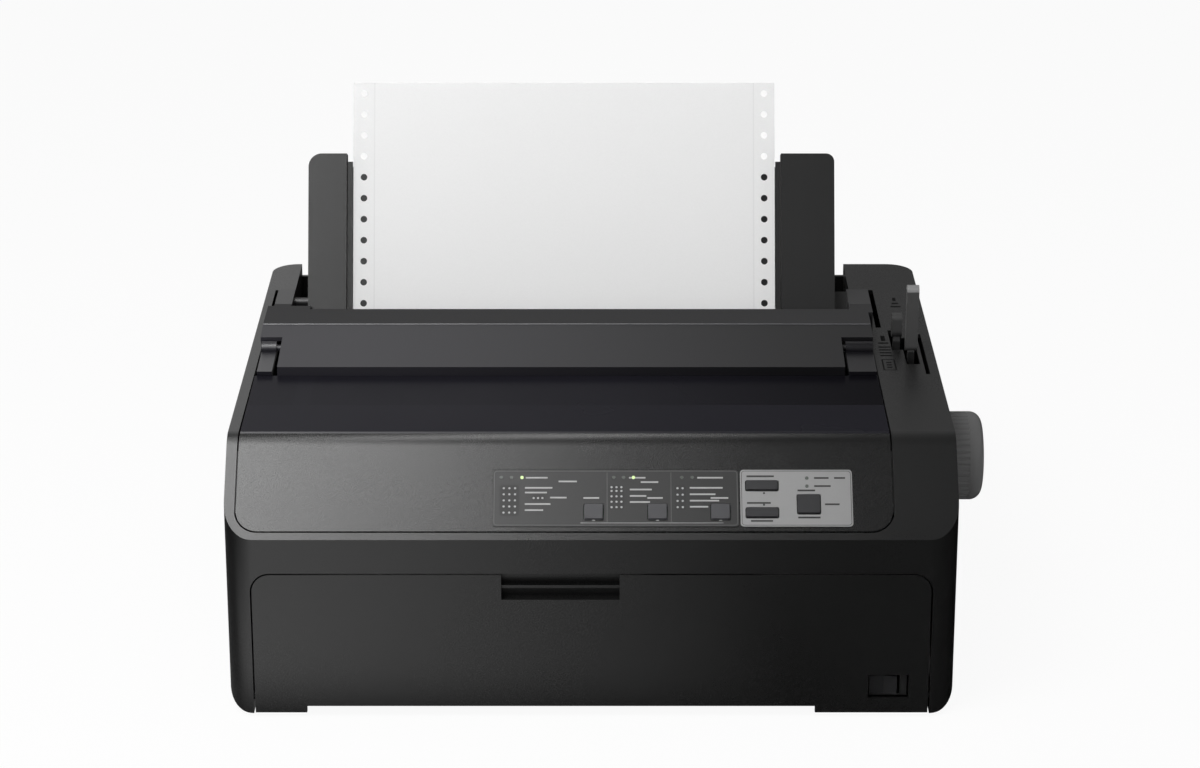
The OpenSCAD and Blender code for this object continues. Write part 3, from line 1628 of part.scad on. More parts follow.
module power_switch() {
    color([0.06, 0.06, 0.07]) place() {
        difference() {
            slab(switch_x0 + 0.8, switch_x1 - 0.8, cover_t + 1, 28, switch_z0 + 0.8, switch_z1 - 0.8);
            slab(switch_x - rocker_w / 2 - rocker_gap, switch_x + rocker_w / 2 + rocker_gap, 0, 21,
                 switch_z - rocker_h / 2 - free_gap, switch_z + rocker_h / 2 + free_gap);
            translate([switch_x, rocker_y, switch_z - 6.4])
                cylinder(h = 12.8, r = 1.2 + run_gap);
        }
        slab(switch_x0 + 4, switch_x1 - 4, front_floor_y + 1.5, pan_y0 - free_gap, floor_top,
             switch_z0 + 1);
    }
}

module power_rocker() {
    color([0.12, 0.12, 0.13]) place()
        translate([switch_x, rocker_y, 0])
            rotate([0, 0, -rocker_tilt]) {
                translate([0, 0, switch_z - rocker_h / 2])
                    linear_extrude(rocker_h)
                        polygon([[-rocker_w / 2 + 0.3, -7.6], [0, -6.2], [rocker_w / 2 - 0.3, -7.6],
                                 [rocker_w / 2 - 0.6, 0], [3, 5], [-3, 5], [-rocker_w / 2 + 0.6, 0]]);
                translate([0, 0, switch_z - 6.2])
                    cylinder(h = 12.4, r = 1.2);
            }
}

module rubber_feet() {
    color([0.04, 0.04, 0.04]) place()
        for (x = [-foot_x, foot_x], y = [foot_y, body_d - 50])
            translate([x, y, 0])
                cylinder(h = base_z, r = foot_r);
}

module case_screws() {
    color([0.6, 0.6, 0.62]) place()
        for (x = [-boss_x, boss_x], y = [boss_y0 + 40, boss_y1])
            translate([x, y, 0]) {
                translate([0, 0, base_z + 0.2])
                    cylinder(h = screw_seat_z - base_z - 0.2, r = screw_head_r);
                translate([0, 0, base_z + 0.4])
                    cylinder(h = screw_len, r = screw_r - 0.1);
            }
}

lower_case();
upper_case();
front_cover();
control_panel();
mode_label_plate();
key_label_plate();
indicator_lights();
panel_board();
load_eject_key();
line_feed_key();
pause_key();
font_key();
pitch_key();
tear_off_key();
window_cover();
exit_cover();
sheet_guide();
left_edge_guide();
right_edge_guide();
fanfold_paper();
base_frame();
left_side_frame();
right_side_frame();
lever_bracket();
release_lever();
thickness_lever();
platen_shaft();
platen_roller();
platen_knob();
reduction_gear();
transfer_gear();
feed_pinion();
feed_motor();
tractor_drive();
tractor_guide_shaft();
left_tractor();
right_tractor();
pin_belts();
left_tractor_lid();
right_tractor_lid();
paper_chute();
pinch_rollers();
carriage_shaft();
carriage_rail();
carriage();
print_head();
ribbon_cartridge();
ribbon_knob();
carriage_motor();
motor_pulley();
idler_pulley();
carriage_belt();
main_board();
power_supply();
power_inlet();
interface_ports();
power_switch();
power_rocker();
rubber_feet();
case_screws();
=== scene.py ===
import math

import bmesh
import bpy
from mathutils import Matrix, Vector


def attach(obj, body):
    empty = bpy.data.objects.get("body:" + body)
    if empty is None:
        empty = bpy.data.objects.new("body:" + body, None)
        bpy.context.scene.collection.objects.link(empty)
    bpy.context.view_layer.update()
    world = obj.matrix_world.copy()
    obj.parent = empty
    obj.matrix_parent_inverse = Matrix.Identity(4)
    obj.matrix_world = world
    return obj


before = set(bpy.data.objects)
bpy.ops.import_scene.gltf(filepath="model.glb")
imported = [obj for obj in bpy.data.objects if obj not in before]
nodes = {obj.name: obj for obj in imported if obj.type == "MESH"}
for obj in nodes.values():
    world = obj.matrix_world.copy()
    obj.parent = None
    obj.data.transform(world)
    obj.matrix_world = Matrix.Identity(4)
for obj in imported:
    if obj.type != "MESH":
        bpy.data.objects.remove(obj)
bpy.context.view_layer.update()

# ---------------------------------------------------------------- camera, table and lights
# The printer stands on a plain white table; the camera looks down at it from the front
# like a person who stands a couple of steps away. A large diffuser hangs over the left side
# and the studio is dim on the right, so that the black mouldings grade from left to right.
camera_place = (-0.00932, -1.94533, 0.84083)
camera_tilt = 70
focal_length, film_width = 105.66, 36
camera_data = bpy.data.cameras.new("studio_camera")
camera_data.sensor_width = film_width
camera_data.lens = focal_length
camera = bpy.data.objects.new("studio_camera", camera_data)
camera.location = camera_place
camera.rotation_euler = (math.radians(camera_tilt), 0, 0)
bpy.context.scene.collection.objects.link(camera)
bpy.context.scene.camera = camera
bpy.context.scene.view_settings.view_transform = "Standard"


class Value:
    """A socket of a finish that takes part in Python expressions."""

    def __init__(self, finish, socket):
        self.finish, self.socket = finish, socket

    def math(self, operation, *others):
        return self.finish.add("ShaderNodeMath", {"operation": operation}, dict(enumerate((self,) + others)))

    def __add__(self, other):
        return self.math("ADD", other)

    def __sub__(self, other):
        return self.math("SUBTRACT", other)

    def __mul__(self, other):
        return self.math("MULTIPLY", other)

    def __rsub__(self, other):
        return self.finish.add("ShaderNodeMath", {"operation": "SUBTRACT"}, {0: other, 1: self})

    __radd__ = __add__
    __rmul__ = __mul__


class Finish:
    """A material or the world, built one shader node at a time."""

    def __init__(self, name, **constants):
        self.material = bpy.data.materials.new(name)
        self.material.use_nodes = True
        self.tree = self.material.node_tree
        self.tree.nodes.clear()
        self.output = self.tree.nodes.new("ShaderNodeOutputMaterial")
        self.shader = self.tree.nodes.new("ShaderNodeBsdfPrincipled")
        self.tree.links.new(self.shader.outputs[0], self.output.inputs[0])
        for label, value in constants.items():
            self.set(label.replace("_", " "), value)

    def set(self, label, value):
        self.plug(self.shader.inputs[label], value)

    def plug(self, socket, value):
        if isinstance(value, Value):
            self.tree.links.new(value.socket, socket)
        else:
            socket.default_value = value

    def add(self, kind, settings, inputs, output=0):
        node = self.tree.nodes.new(kind)
        for key, value in settings.items():
            setattr(node, key, value)
        for key, value in inputs.items():
            self.plug(node.inputs[key], value)
        return Value(self, node.outputs[output])

    def place(self):
        return self.add("ShaderNodeTexCoord", {}, {}, "Object")

    def axis(self, letter, source=None):
        return self.add("ShaderNodeSeparateXYZ", {}, {0: source or self.place()}, letter)

    def noise(self, scale, detail=2.0, rough=0.5, stretch=None):
        where = self.place()
        if stretch:
            where = self.add("ShaderNodeMapping", {}, {"Vector": where, "Scale": stretch})
        return self.add("ShaderNodeTexNoise", {}, {"Vector": where, "Scale": scale, "Detail": detail,
                                                   "Roughness": rough})

    def range(self, value, low, high, to_low, to_high, kind="LINEAR"):
        limits = {"From Min": low, "From Max": high, "To Min": to_low, "To Max": to_high}
        return self.add("ShaderNodeMapRange", {"interpolation_type": kind}, {"Value": value, **limits})

    def blend(self, factor, first, second):
        return self.add("ShaderNodeMix", {"data_type": "RGBA"}, {0: factor, 6: first, 7: second}, 2)

    def bump(self, height, strength, distance):
        self.set("Normal", self.add("ShaderNodeBump", {}, {"Height": height, "Strength": strength,
                                                            "Distance": distance}))

    def mix_shaders(self, factor, first, second):
        return self.add("ShaderNodeMixShader", {}, {0: factor, 1: first, 2: second})


def gray(level):
    return (level, level, level, 1)


# The table is white to the eye; in mirrors it shows a painted pool of light that fades
# towards the right, and a painted shadow close to the case.
table_size = 14
seen_white = 0.93
mirrored_left, mirrored_right, edge_left = -0.23, 0.1, -0.46
near_case, past_case = -0.175, -0.235
table_finish = Finish("table_white", Roughness=0.9)
table_finish.set("Base Color", table_finish.blend(table_finish.noise(3.0), gray(0.92), gray(0.94)))
rays = table_finish.tree.nodes.new("ShaderNodeLightPath")
eye = Value(table_finish, rays.outputs["Is Camera Ray"]) * seen_white
mirror = Value(table_finish, rays.outputs["Is Glossy Ray"])
white = table_finish.add("ShaderNodeEmission", {}, {"Color": gray(1), "Strength": 1.0})
# Painted light and shadow: the glow that mirrors see is bright at the left and dark close to the case.
painted_light_and_shadow = table_finish.range(table_finish.axis("X"), mirrored_left, mirrored_right, 1.4, 0.0)
painted_light_and_shadow = painted_light_and_shadow * table_finish.range(table_finish.axis("X"), edge_left, mirrored_left - 0.005, 0.0, 1.0)
painted_light_and_shadow = painted_light_and_shadow * table_finish.range(table_finish.axis("Y"), near_case, past_case, 0.1, 1.0)
painted_mirror_glow = table_finish.add("ShaderNodeEmission", {}, {"Color": painted_light_and_shadow, "Strength": 1.0})
seen = table_finish.mix_shaders(eye, Value(table_finish, table_finish.shader.outputs[0]), white)
table_finish.plug(table_finish.output.inputs[0], table_finish.mix_shaders(mirror, seen, painted_mirror_glow))
bpy.ops.mesh.primitive_plane_add(size=table_size, location=(0, 0, 0))
table = bpy.context.object
table.name = "table_top"
table.data.materials.append(table_finish.material)

# The studio's walls are dim. In mirrors they are lightest at the left, half-way up and behind
# the printer, and dark overhead.
dim_light = 0.29
world = bpy.data.worlds.new("studio")
bpy.context.scene.world = world
world.use_nodes = True
sky = Finish.__new__(Finish)
sky.tree = world.node_tree
sky.tree.nodes.clear()
rays = sky.tree.nodes.new("ShaderNodeLightPath")
way = sky.add("ShaderNodeTexCoord", {}, {}, "Generated")
across = sky.range(sky.axis("X", way), -0.09, 0.07, 0.68, 0.15, "SMOOTHSTEP")
height = sky.range(sky.axis("Z", way), 0.36, 0.55, 1.0, 1.4)
height = height * sky.range(sky.axis("Z", way), 0.58, 0.8, 1.0, 0.12, "SMOOTHSTEP")
height = height * sky.range(sky.axis("Y", way), -0.2, 0.2, 0.6, 1.0)
height = height * sky.range(sky.axis("X", way), -0.8, -0.25, 2.8, 1.0)
dim = sky.add("ShaderNodeBackground", {}, {"Color": gray(1), "Strength": dim_light})
mirrored = sky.add("ShaderNodeBackground", {}, {"Color": across * height, "Strength": 1.0})
white = sky.add("ShaderNodeBackground", {}, {"Color": gray(1), "Strength": 1.0})
lit = sky.mix_shaders(Value(sky, rays.outputs["Is Glossy Ray"]), dim, mirrored)
through = Value(sky, rays.outputs["Is Transmission Ray"])
clear = Value(sky, rays.outputs["Is Camera Ray"]).math("MAXIMUM", through)
sky.plug(sky.tree.nodes.new("ShaderNodeOutputWorld").inputs[0], sky.mix_shaders(clear, lit, white))


def softbox(name, place, aim, size, power, mirrored=True, lights=True):
    """A soft lamp in watts, out of the camera's sight; it may serve mirrors or matt faces alone."""
    lamp = bpy.data.lights.new(name, "AREA")
    lamp.shape = "RECTANGLE"
    lamp.size, lamp.size_y = size
    lamp.energy = power
    holder = bpy.data.objects.new(name, lamp)
    holder.location = place
    holder.rotation_euler = (Vector(aim) - Vector(place)).to_track_quat("-Z", "Y").to_euler()
    holder.visible_camera = False
    holder.visible_glossy = mirrored
    holder.visible_diffuse = lights
    bpy.context.scene.collection.objects.link(holder)


softbox("diffuser_over_left", (-0.495, -0.62, 1.3), (-0.14, -0.1, 0.1), (0.7, 0.7), 10.9)
softbox("front_fill", (-0.3, -2.3, 1.5), (0, 0, 0.15), (1.6, 1.2), 14.6, mirrored=False)
softbox("overhead_bank", (-0.25, 0.09, 1.38), (0, 0, 0.15), (1.6, 0.16), 5.6, lights=False)
softbox("front_card", (-0.6, -0.9, 0.75), (-0.15, 0.0, 0.2), (0.4, 0.4), 4.5, lights=False)


# ---------------------------------------------------------------- case mouldings
# Two shells of black office-machine plastic with a fine spark-eroded grain. Their edges
# are slightly rounded, and the grain's gloss varies a little from place to place.
def moulded(name, tint, rough=0.28):
    skin = Finish(name, Specular_IOR_Level=0.5)
    wide = skin.noise(9.0, 3.0)
    fine = skin.noise(2600.0, 2.0, 0.6)
    low = tuple(c * 0.9 for c in tint) + (1,)
    high = tuple(min(1.0, c * 1.1 + 0.001) for c in tint) + (1,)
    skin.set("Base Color", skin.blend(wide, low, high))
    skin.set("Roughness", skin.range(wide * 0.6 + fine * 0.4, 0.3, 0.7, rough - 0.03, rough + 0.04))
    skin.bump(fine, 0.2, 0.0002)
    return skin.material


def dress(names, material):
    for name in names.split():
        mesh = nodes[name].data
        mesh.materials.clear()
        mesh.materials.append(material)


def soften(names, width, segments=2):
    """Merge the flat facets of pieces and round their edges by width, in metres."""
    for name in names.split():
        part = nodes[name]
        flat = part.modifiers.new("flat_faces", "DECIMATE")
        flat.decimate_type = "DISSOLVE"
        flat.angle_limit = math.radians(0.5)
        edge = part.modifiers.new("rounded_edges", "BEVEL")
        edge.width = width
        edge.segments = segments
        edge.limit_method = "ANGLE"
        edge.angle_limit = math.radians(35)
        even = part.modifiers.new("even_shading", "WEIGHTED_NORMAL")
        even.keep_sharp = True


case_black = (0.009, 0.009, 0.009)
dress("lower_case upper_case", moulded("case_moulding", case_black))
soften("upper_case", 0.0006)
soften("lower_case", 0.0005)


# Small pieces are drawn in millimetres from the case's middle, its front and its foot.
knob_shift, half_depth, deck_level = 14, 174, 150.2


def at(x, y, z):
    return Vector((x - knob_shift, y - half_depth, z)) / 1000


def on_deck(x, y, high):
    return at(x, y, deck_level + high)


def build(name, body, material, prisms, frame_of):
    """One mesh of upright prisms: each is an outline with its lower and upper heights."""
    shape = bmesh.new()
    for outline, low, high in prisms:
        foot = [shape.verts.new(frame_of(x, y, low)) for x, y in outline]
        head = [shape.verts.new(frame_of(x, y, high)) for x, y in outline]
        shape.faces.new(head)
        shape.faces.new(foot[::-1])
        for i in range(len(outline)):
            j = (i + 1) % len(outline)
            shape.faces.new((foot[i], foot[j], head[j], head[i]))
    bmesh.ops.recalc_face_normals(shape, faces=shape.faces)
    mesh = bpy.data.meshes.new(name)
    shape.to_mesh(mesh)
    shape.free()
    piece = bpy.data.objects.new(name, mesh)
    bpy.context.scene.collection.objects.link(piece)
    mesh.materials.append(material)
    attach(piece, body)
    return piece


def box(x0, x1, y0, y1):
    return [(x0, y0), (x1, y0), (x1, y1), (x0, y1)]


def disc(x, y, r, sides=16):
    turn = [2 * math.pi * k / sides for k in range(sides)]
    return [(x + r * math.cos(a), y + r * math.sin(a)) for a in turn]


def rounded(x0, x1, y0, y1, r):
    path, steps = [], 4
    corners = ((x1 - r, y1 - r), (x0 + r, y1 - r), (x0 + r, y0 + r), (x1 - r, y0 + r))
    for quarter, (cx, cy) in enumerate(corners):
        for k in range(steps + 1):
            a = math.radians(90 * quarter + 90 * k / steps)
            path.append((cx + r * math.cos(a), cy + r * math.sin(a)))
    return path


def line(path, width, closed=True):
    """The strokes of a printed line along a path."""
    strokes = []
    count = len(path) if closed else len(path) - 1
    for k in range(count):
        (ax, ay), (bx, by) = path[k], path[(k + 1) % len(path)]
        length = math.hypot(bx - ax, by - ay)
        nx, ny = -(by - ay) / length * width / 2, (bx - ax) / length * width / 2
        strokes.append([(ax - nx, ay - ny), (bx - nx, by - ny), (bx + nx, by + ny), (ax + nx, ay + ny)])
    return strokes


# Dark pictograms are printed on the right deck beside the levers: plain bars and ticks.
ink = Finish("deck_ink", Roughness=0.7, Specular_IOR_Level=0.05)
ink.set("Base Color", ink.blend(ink.noise(200.0), gray(0.004), gray(0.007)))
strokes = line(box(169.5, 176.5, 150, 168), 0.9)
strokes += [box(171.5, 174.5, y, y + 1.8) for y in (153.5, 157.8, 162)]
strokes += [box(169, 176, y, y + 1.8) for y in (174, 179, 184, 189)]
strokes += [box(169.5, 175.5, 196, 198), box(171.5, 174, 201, 210)]
strokes += [box(182, 188, 263, 265.5), box(183, 187, 269, 271.5), box(184, 186, 275, 281)]
ink_foot, ink_top = -0.02, 0.04
build("deck_marks", "case", ink.material, [(s, ink_foot, ink_top) for s in strokes], on_deck)

# ---------------------------------------------------------------- feet and case screws
# Four moulded rubber discs under the lower shell, and four zinc-plated cross-head screws
# driven up into the upper shell's bosses.
def rubber(name, tint=0.018, rough=0.8):
    skin = Finish(name)
    wide = skin.noise(40.0, 3.0)
    skin.set("Base Color", skin.blend(wide, gray(tint * 0.85), gray(tint * 1.2)))
    skin.set("Roughness", skin.range(wide, 0.3, 0.7, rough - 0.06, rough + 0.06))
    skin.bump(skin.noise(1500.0, 3.0), 0.3, 0.0002)
    return skin.material


def metal(name, tint, rough=0.35, stretch=(1, 1, 1), streaks=300.0):
    skin = Finish(name, Metallic=1.0)
    drawn = skin.noise(streaks, 3.0, 0.5, stretch)
    low = tuple(c * 0.88 for c in tint) + (1,)
    high = tuple(min(1.0, c * 1.06) for c in tint) + (1,)
    skin.set("Base Color", skin.blend(drawn, low, high))
    skin.set("Roughness", skin.range(drawn, 0.3, 0.7, rough - 0.07, rough + 0.08))
    skin.bump(drawn, 0.15, 0.0001)
    return skin.material


dress("rubber_feet", rubber("foot_rubber"))
dress("case_screws", metal("screw_zinc", (0.62, 0.63, 0.64), 0.3))

# ---------------------------------------------------------------- frame
# Pressed and folded zinc-plated steel: a pan bolted to the lower shell, two side frames
# that carry the shafts, and the levers' bracket. The sheet shows faint rolling streaks.
plated = metal("plated_sheet", (0.55, 0.56, 0.55), 0.42, (1, 12, 12), 60.0)
dress("base_frame left_side_frame right_side_frame lever_bracket", plated)

# ---------------------------------------------------------------- platen and paper feed
# The platen is ground rubber on a steel shaft. White acetal gears on stub axles take the
# drive from the feed motor's brass pinion to the platen and to the tractors behind it.
def gear_plastic(name, tint):
    skin = Finish(name, Specular_IOR_Level=0.45)
    wide = skin.noise(120.0, 2.0)
    skin.set("Base Color", skin.blend(wide, tuple(c * 0.94 for c in tint) + (1,), tuple(tint) + (1,)))
    skin.set("Roughness", skin.range(wide, 0.3, 0.7, 0.38, 0.5))
    return skin.material


dress("platen_roller", rubber("platen_rubber", 0.022, 0.6))
dress("pinch_rollers", rubber("pinch_rubber", 0.03, 0.7))
turned = metal("turned_steel", (0.66, 0.66, 0.67), 0.24, (1, 30, 30), 40.0)
dress("platen_shaft carriage_shaft tractor_guide_shaft", turned)
acetal = gear_plastic("gear_acetal", (0.72, 0.71, 0.66))
dress("reduction_gear transfer_gear tractor_drive", acetal)
dress("feed_pinion", metal("pinion_brass", (0.78, 0.6, 0.3), 0.28))
can = metal("motor_can", (0.2, 0.2, 0.21), 0.4, (1, 1, 8), 90.0)
dress("feed_motor carriage_motor", can)
tractor_skin = moulded("tractor_moulding", (0.03, 0.03, 0.032), 0.5)
dress("left_tractor right_tractor left_tractor_lid right_tractor_lid", tractor_skin)
dress("pin_belts", rubber("belt_rubber", 0.03, 0.65))
dress("paper_chute", moulded("chute_moulding", (0.02, 0.02, 0.021), 0.4))

# ---------------------------------------------------------------- carriage and print head
# The head is a finned die-casting on a black carriage that slides on a ground shaft and a
# folded rail. A toothed belt pulls it; a cartridge of inked ribbon is clipped over it.
dress("carriage ribbon_cartridge", moulded("mechanism_moulding", (0.02, 0.02, 0.022), 0.46))
dress("print_head", metal("head_casting", (0.34, 0.35, 0.36), 0.5, (1, 1, 1), 500.0))
dress("carriage_rail", plated)
dress("ribbon_knob", gear_plastic("ribbon_knob_plastic", (0.12, 0.25, 0.4)))
dress("motor_pulley idler_pulley", metal("pulley_alloy", (0.7, 0.7, 0.7), 0.3))
dress("carriage_belt", rubber("toothed_belt", 0.015, 0.6))

# ---------------------------------------------------------------- electrics
# Two circuit boards with a green solder mask over faint tracks, the mains unit's folded
# case, the sockets in the rear wall and the rocker's housing behind the front cover.
def circuit(name):
    skin = Finish(name, Specular_IOR_Level=0.5)
    tracks = skin.range(skin.noise(180.0, 1.0, 0.3, (1, 4, 1)), 0.5, 0.54, 0.0, 1.0)
    skin.set("Base Color", skin.blend(tracks, (0.01, 0.07, 0.03, 1), (0.02, 0.12, 0.05, 1)))
    skin.set("Roughness", skin.range(tracks, 0.0, 1.0, 0.4, 0.3))
    return skin.material


dress("main_board panel_board", circuit("solder_mask"))
dress("power_supply", plated)
dress("power_inlet power_switch", moulded("socket_moulding", (0.02, 0.02, 0.02), 0.4))
dress("interface_ports", moulded("port_shell", (0.28, 0.28, 0.27), 0.4))

# ---------------------------------------------------------------- front cover and power rocker
# One wide moulding that drops forward on two pins at its lower corners; a shelf-like grip
# is recessed into its upper edge. The rocker shows through a window at its right end.
dress("front_cover", moulded("front_cover_moulding", case_black))
soften("front_cover", 0.0005)
dress("power_rocker", moulded("rocker_moulding", (0.016, 0.016, 0.017), 0.35))
soften("power_rocker", 0.0003)

# ---------------------------------------------------------------- control panel
# A sloping moulding clipped into the upper shell. Two printed plates are bonded into a
# shallow bed: a wide black one with the modes, and a silver one with the working keys.
crease_level, slope_run = 105.8, 43.6
slope = math.atan2(deck_level - crease_level, slope_run)


def on_slope(x, s, high):
    y = s * math.cos(slope) - high * math.sin(slope)
    z = crease_level + s * math.sin(slope) + high * math.cos(slope)
    return at(x, y, z)


dress("control_panel", moulded("panel_moulding", case_black, 0.26))
soften("control_panel", 0.0006)
film = Finish("mode_plate_film", Specular_IOR_Level=0.5)
film.set("Base Color", film.blend(film.noise(30.0), gray(0.013), gray(0.016)))
film.set("Roughness", film.range(film.noise(900.0), 0.3, 0.7, 0.36, 0.42))
dress("mode_label_plate", film.material)
silver = Finish("key_plate_film", Specular_IOR_Level=0.5, Metallic=0.3)
brushed = silver.noise(400.0, 2.0, 0.5, (1, 20, 20))
silver.set("Base Color", silver.blend(brushed, gray(0.265), gray(0.3)))
silver.set("Roughness", silver.range(brushed, 0.3, 0.7, 0.38, 0.46))
dress("key_label_plate", silver.material)

key_skin = moulded("key_moulding", (0.01, 0.01, 0.012), 0.42)
dress("font_key pitch_key tear_off_key", moulded("square_key_moulding", (0.04, 0.04, 0.045), 0.42))
dress("load_eject_key line_feed_key pause_key", key_skin)
soften("font_key pitch_key tear_off_key load_eject_key line_feed_key pause_key", 0.0005)

lit_lamps = (-0.0521, 0.009)
lens = Finish("lamp_lens", Roughness=0.25, Emission_Strength=1.0)
x_here = lens.axis("X")
glow = 0.0
for place in lit_lamps:
    glow = glow + lens.range((x_here - place).math("ABSOLUTE"), 0.0018, 0.0022, 1.0, 0.0)
lens.set("Base Color", lens.blend(glow, (0.09, 0.1, 0.09, 1), (0.5, 0.6, 0.3, 1)))
# Painted glow: the lenses that are off still glow faintly.
lens.set("Emission Color", lens.blend(glow, gray(0.02), (0.35, 0.5, 0.2, 1)))
dress("indicator_lights", lens.material)

# The plates' printing is raised by the thickness of the ink: thin borders, dividing lines,
# dot matrices of the modes and plain bars in place of words.
pale = Finish("pale_ink", Roughness=0.55)
pale.set("Base Color", pale.blend(pale.noise(300.0), gray(0.36), gray(0.44)))
dark = Finish("dark_ink", Roughness=0.5)
dark.set("Base Color", dark.blend(dark.noise(300.0), gray(0.008), gray(0.014)))
faint = Finish("faint_ink", Roughness=0.5)
faint.set("Base Color", faint.blend(faint.noise(300.0), gray(0.09), gray(0.12)))
film_top, ink_sunk, ink_thick, block_thick, dot_thick = 0.3, 0.1, 0.04, 0.03, 0.05


def printed(name, finish, outlines, thick=ink_thick):
    """Prints outlines on a plate that lies on the slope."""
    low, high = film_top - ink_sunk, film_top + thick
    build(name, "case", finish.material, [(o, low, high) for o in outlines], on_slope)


rims = line(rounded(-53.2, 79.8, 8.6, 40.6, 1.6), 0.3)
rims += [box(8.4, 8.7, 9.6, 39.8), box(43.4, 43.7, 9.6, 39.8)]
printed("mode_plate_lines", faint, rims)

blocks = [rounded(-50.2, -39.6, 14.0, 32.4, 1.4), rounded(9.4, 18.0, 17.4, 32.4, 1.4),
          rounded(45.4, 51.6, 17.4, 32.4, 1.4), rounded(-33.0, -25.4, 23.0, 26.2, 1.2)]
printed("mode_plate_blocks", dark, blocks, block_thick)

dot, dot_sides = 0.62, 10
dots = [disc(x, s, dot, dot_sides) for x in (-48.0, -44.9, -41.8) for s in (16.0, 19.6, 23.2, 26.8, 30.4)]
dots += [disc(x, s, dot, dot_sides) for x in (11.0, 13.7, 16.4) for s in (19.2, 22.4, 25.6, 28.8, 31.0)]
dots += [disc(x, s, dot, dot_sides) for x in (47.1, 49.9) for s in (19.2, 22.9, 26.6, 30.4)]
dots += [disc(x, 24.6, dot, dot_sides) for x in (-31.6, -29.2, -26.8)]
printed("mode_plate_dots", pale, dots, dot_thick)

words = [box(x, x + w, s, s + 0.9) for x, w, s in (
    (-36.0, 12.0, 36.2), (20.6, 9.0, 36.2), (27.0, 9.6, 33.6), (58.0, 14.0, 36.2), (53.8, 18.0, 30.2),
    (53.8, 14.0, 26.4), (53.8, 16.0, 22.6), (53.8, 10.0, 19.0), (21.0, 12.0, 29.2), (21.0, 9.0, 25.4),
    (21.0, 11.0, 21.8), (-36.4, 15.0, 30.2), (-36.4, 12.0, 27.4), (-22.6, 9.0, 24.4), (-36.4, 14.0, 20.6),
    (-36.4, 10.0, 17.0), (-4.4, 8.6, 24.2), (30.6, 8.4, 24.2), (65.2, 9.6, 24.2), (-18.0, 10.0, 34.0))]
words += line([(-6.0, 9.9), (72.0, 9.9)], 0.28, False)
words += [[(x - 1.0, 11.2), (x + 1.0, 11.2), (x, 12.6)] for x in (1.2, 36.1, 70.5)]
printed("mode_plate_words", pale, words)

tags = [box(x, x + w, s, s + 1.0) for x, w, s in (
    (85.0, 15.0, 37.0), (85.0, 13.0, 21.2), (87.0, 12.0, 10.6), (112.8, 9.6, 28.6), (112.8, 12.2, 12.6),
    (122.0, 8.0, 36.0), (122.0, 9.0, 31.2), (133.0, 6.0, 36.0), (127.6, 8.0, 20.4))]
tags += line(rounded(82.2, 142.0, 8.6, 40.6, 1.6), 0.28)
tags += [disc(94.4, 27.5, 0.6, dot_sides), disc(94.3, 20.6, 0.6, dot_sides)]
printed("key_plate_words", dark, tags)

# ---------------------------------------------------------------- window and exit cover
# The window is polished smoked acrylic that hinges up on two arms; behind it the exit cover
# rises to a crest whose moulded ridge catches the light. The zones of both are in metres: the
# window has a clearer border and post, a coat on its arms and front edge, and painted shade
# that darkens its smoke towards the right.
border_back, post_x, arm_foot, front_edge = -0.0836, -0.178, 0.15185, -0.1247
gloss = Finish("smoked_acrylic", Specular_IOR_Level=0.02, Roughness=0.2)
depth = gloss.axis("Y")
border = gloss.range(depth, border_back - 0.0005, border_back + 0.0005, 1.0, 0.0)
post = gloss.range((gloss.axis("X") - post_x).math("ABSOLUTE"), 0.004, 0.005, 0.5, 0.0)
# Painted shade: the smoke's colour darkens towards the right, where less light falls.
painted_shade_right = gloss.range(gloss.axis("X"), 0.0, 0.17, 0.0, 1.0) * 0.9 + gloss.noise(6.0, 2.0) * 0.1
smoke_and_painted_shade = gloss.blend(painted_shade_right, (0.0125, 0.012, 0.0165, 1), (0.0035, 0.0032, 0.0045, 1))
gloss.set("Base Color", gloss.blend(border.math("MAXIMUM", post), smoke_and_painted_shade, (0.0145, 0.014, 0.019, 1)))
arms = gloss.range(gloss.axis("Z"), arm_foot - 0.00015, arm_foot + 0.00015, 0.0, 1.0)
rim = gloss.range(depth, front_edge - 0.0001, front_edge + 0.0001, 0.5, 0.0)
gloss.set("Coat Weight", arms.math("MAXIMUM", rim))
gloss.set("Coat Roughness", 0.3)
gloss.set("Roughness", gloss.range(gloss.noise(14.0, 3.0), 0.3, 0.7, 0.2, 0.28))
dress("window_cover", gloss.material)
soften("window_cover", 0.0004)

# The exit cover's front slope and its arms are satin and its flat top is matt. The front slope
# is painted paler at the left as a painted sheen that gives way to painted shade towards the right.
crest_y, arm_start = 0.0197, 0.0573
exit_skin = Finish("exit_cover_moulding", Specular_IOR_Level=0.5)
along = exit_skin.axis("Y")
front = exit_skin.range(along, crest_y, crest_y + 0.0009, 1.0, 0.0)
arm = exit_skin.range(along, arm_start, arm_start + 0.0003, 0.0, 1.0)
spark = exit_skin.noise(1400.0, 3.0, 0.6)
# Painted light and shade: the front slope's black is paler at the left and deeper at the right, with a
# little grain.
painted_sheen_and_grain = exit_skin.range(exit_skin.axis("X"), -0.15, 0.1, 0.0, 0.9) + spark * 0.1
tint = exit_skin.blend(painted_sheen_and_grain, (0.023, 0.022, 0.028, 1), (0.0035, 0.0033, 0.0042, 1))
tint = exit_skin.blend(front, (0.0045, 0.0043, 0.0054, 1), tint)
exit_skin.set("Base Color", exit_skin.blend(arm, tint, (0.024, 0.024, 0.025, 1)))
exit_skin.set("Roughness", (front.math("MAXIMUM", arm) * -0.4 + 0.74) + spark * 0.04)
exit_skin.bump(spark, 0.15, 0.0002)
dress("exit_cover", exit_skin.material)
soften("exit_cover", 0.0006)

ridge_y, ridge_z, ridge_r, ridge_ends = 194.2, 162.75, 0.75, (-193.9, 164.3)
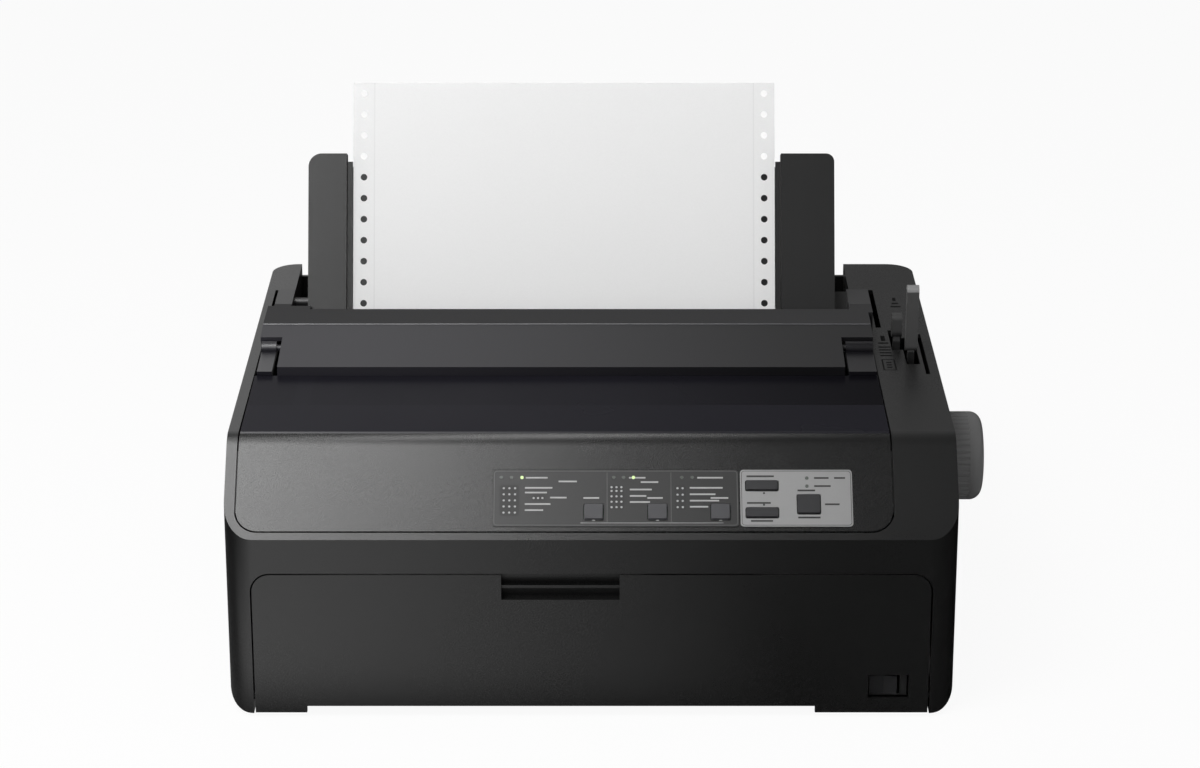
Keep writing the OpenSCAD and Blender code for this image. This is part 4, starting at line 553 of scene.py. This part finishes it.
# The ridge's tint is far paler than the case black: a painted highlight along the crest.
ridge_skin = Finish("crest_ridge", Specular_IOR_Level=0.9)
ridge_painted_highlight = ridge_skin.blend(ridge_skin.noise(40.0), (0.05, 0.05, 0.055, 1), (0.06, 0.06, 0.066, 1))
ridge_skin.set("Base Color", ridge_painted_highlight)
ridge_skin.set("Roughness", ridge_skin.range(ridge_skin.noise(500.0), 0.3, 0.7, 0.3, 0.36))
turns = [math.radians(a) for a in range(0, 181, 20)]
bow = [(ridge_y + ridge_r * math.cos(a), ridge_z + ridge_r * math.sin(a)) for a in turns]
build("crest_ridge", "case", ridge_skin.material, [(bow, *ridge_ends)],
      lambda y, z, x: at(x, y, z))

# ---------------------------------------------------------------- paper guides and paper
# A leaning guide plate with two padded-looking edge guides that slide on its rails, and one
# sheet of fanfold paper with its feed holes and the fine perforation of its edge strips.
guide_skin = moulded("guide_moulding", case_black, 0.36)
dress("sheet_guide left_edge_guide right_edge_guide", guide_skin)
soften("left_edge_guide right_edge_guide", 0.001, segments=3)
soften("sheet_guide", 0.0005)
# The covers in front mirror the studio, not the paper and its guides.
for name in ("sheet_guide", "left_edge_guide", "right_edge_guide", "fanfold_paper"):
    nodes[name].visible_glossy = False

paper_middle, tear_offset = -0.031, 0.1143
sheet = Finish("paper", Roughness=0.9, Specular_IOR_Level=0.2)
fibres = sheet.noise(900.0, 4.0)
white_tint = sheet.blend(fibres, gray(0.86), gray(0.9))
off_middle = (sheet.axis("X") - paper_middle).math("ABSOLUTE")
tear = sheet.range((off_middle - tear_offset).math("ABSOLUTE"), 0.0002, 0.0005, 0.35, 0.0)
sheet.set("Base Color", sheet.blend(tear, white_tint, gray(0.7)))
sheet.bump(fibres, 0.1, 0.0001)
dress("fanfold_paper", sheet.material)

# ---------------------------------------------------------------- levers and platen knob
# Grey mouldings that the hand works: the long paper release lever, the short thickness
# lever, both coming up through slots of the right deck, and the ribbed knob at the side.
slot_level = 0.1513


def lever_finish(name, tint, tip):
    """A grey paddle on a stem painted near-black below the slot as the slot's shade, with a paler end above
    the height tip.
    """
    skin = Finish(name, Specular_IOR_Level=0.5)
    level = skin.axis("Z")
    paddle = skin.range(level, slot_level, slot_level + 0.0006, 0.0, 1.0)
    satin = skin.noise(1500.0)
    grey = skin.blend(satin, gray(tint * 0.93), gray(tint * 1.07))
    grey = skin.blend(skin.range(level, tip, tip + 0.0006, 0.0, 1.0), grey, gray(0.24))
    # Painted shade: below the slot the stem is painted near-black.
    skin.set("Base Color", skin.blend(paddle, gray(0.002), grey))
    skin.set("Roughness", paddle * -0.5 + (satin * 0.06 + 0.92))
    return skin.material


dress("release_lever", lever_finish("release_lever_moulding", 0.07, 0.1893))
dress("thickness_lever", lever_finish("thickness_lever_moulding", 0.035, 0.2))
dress("platen_knob", moulded("knob_moulding", (0.17, 0.17, 0.17), 0.42))
soften("release_lever thickness_lever", 0.0006)
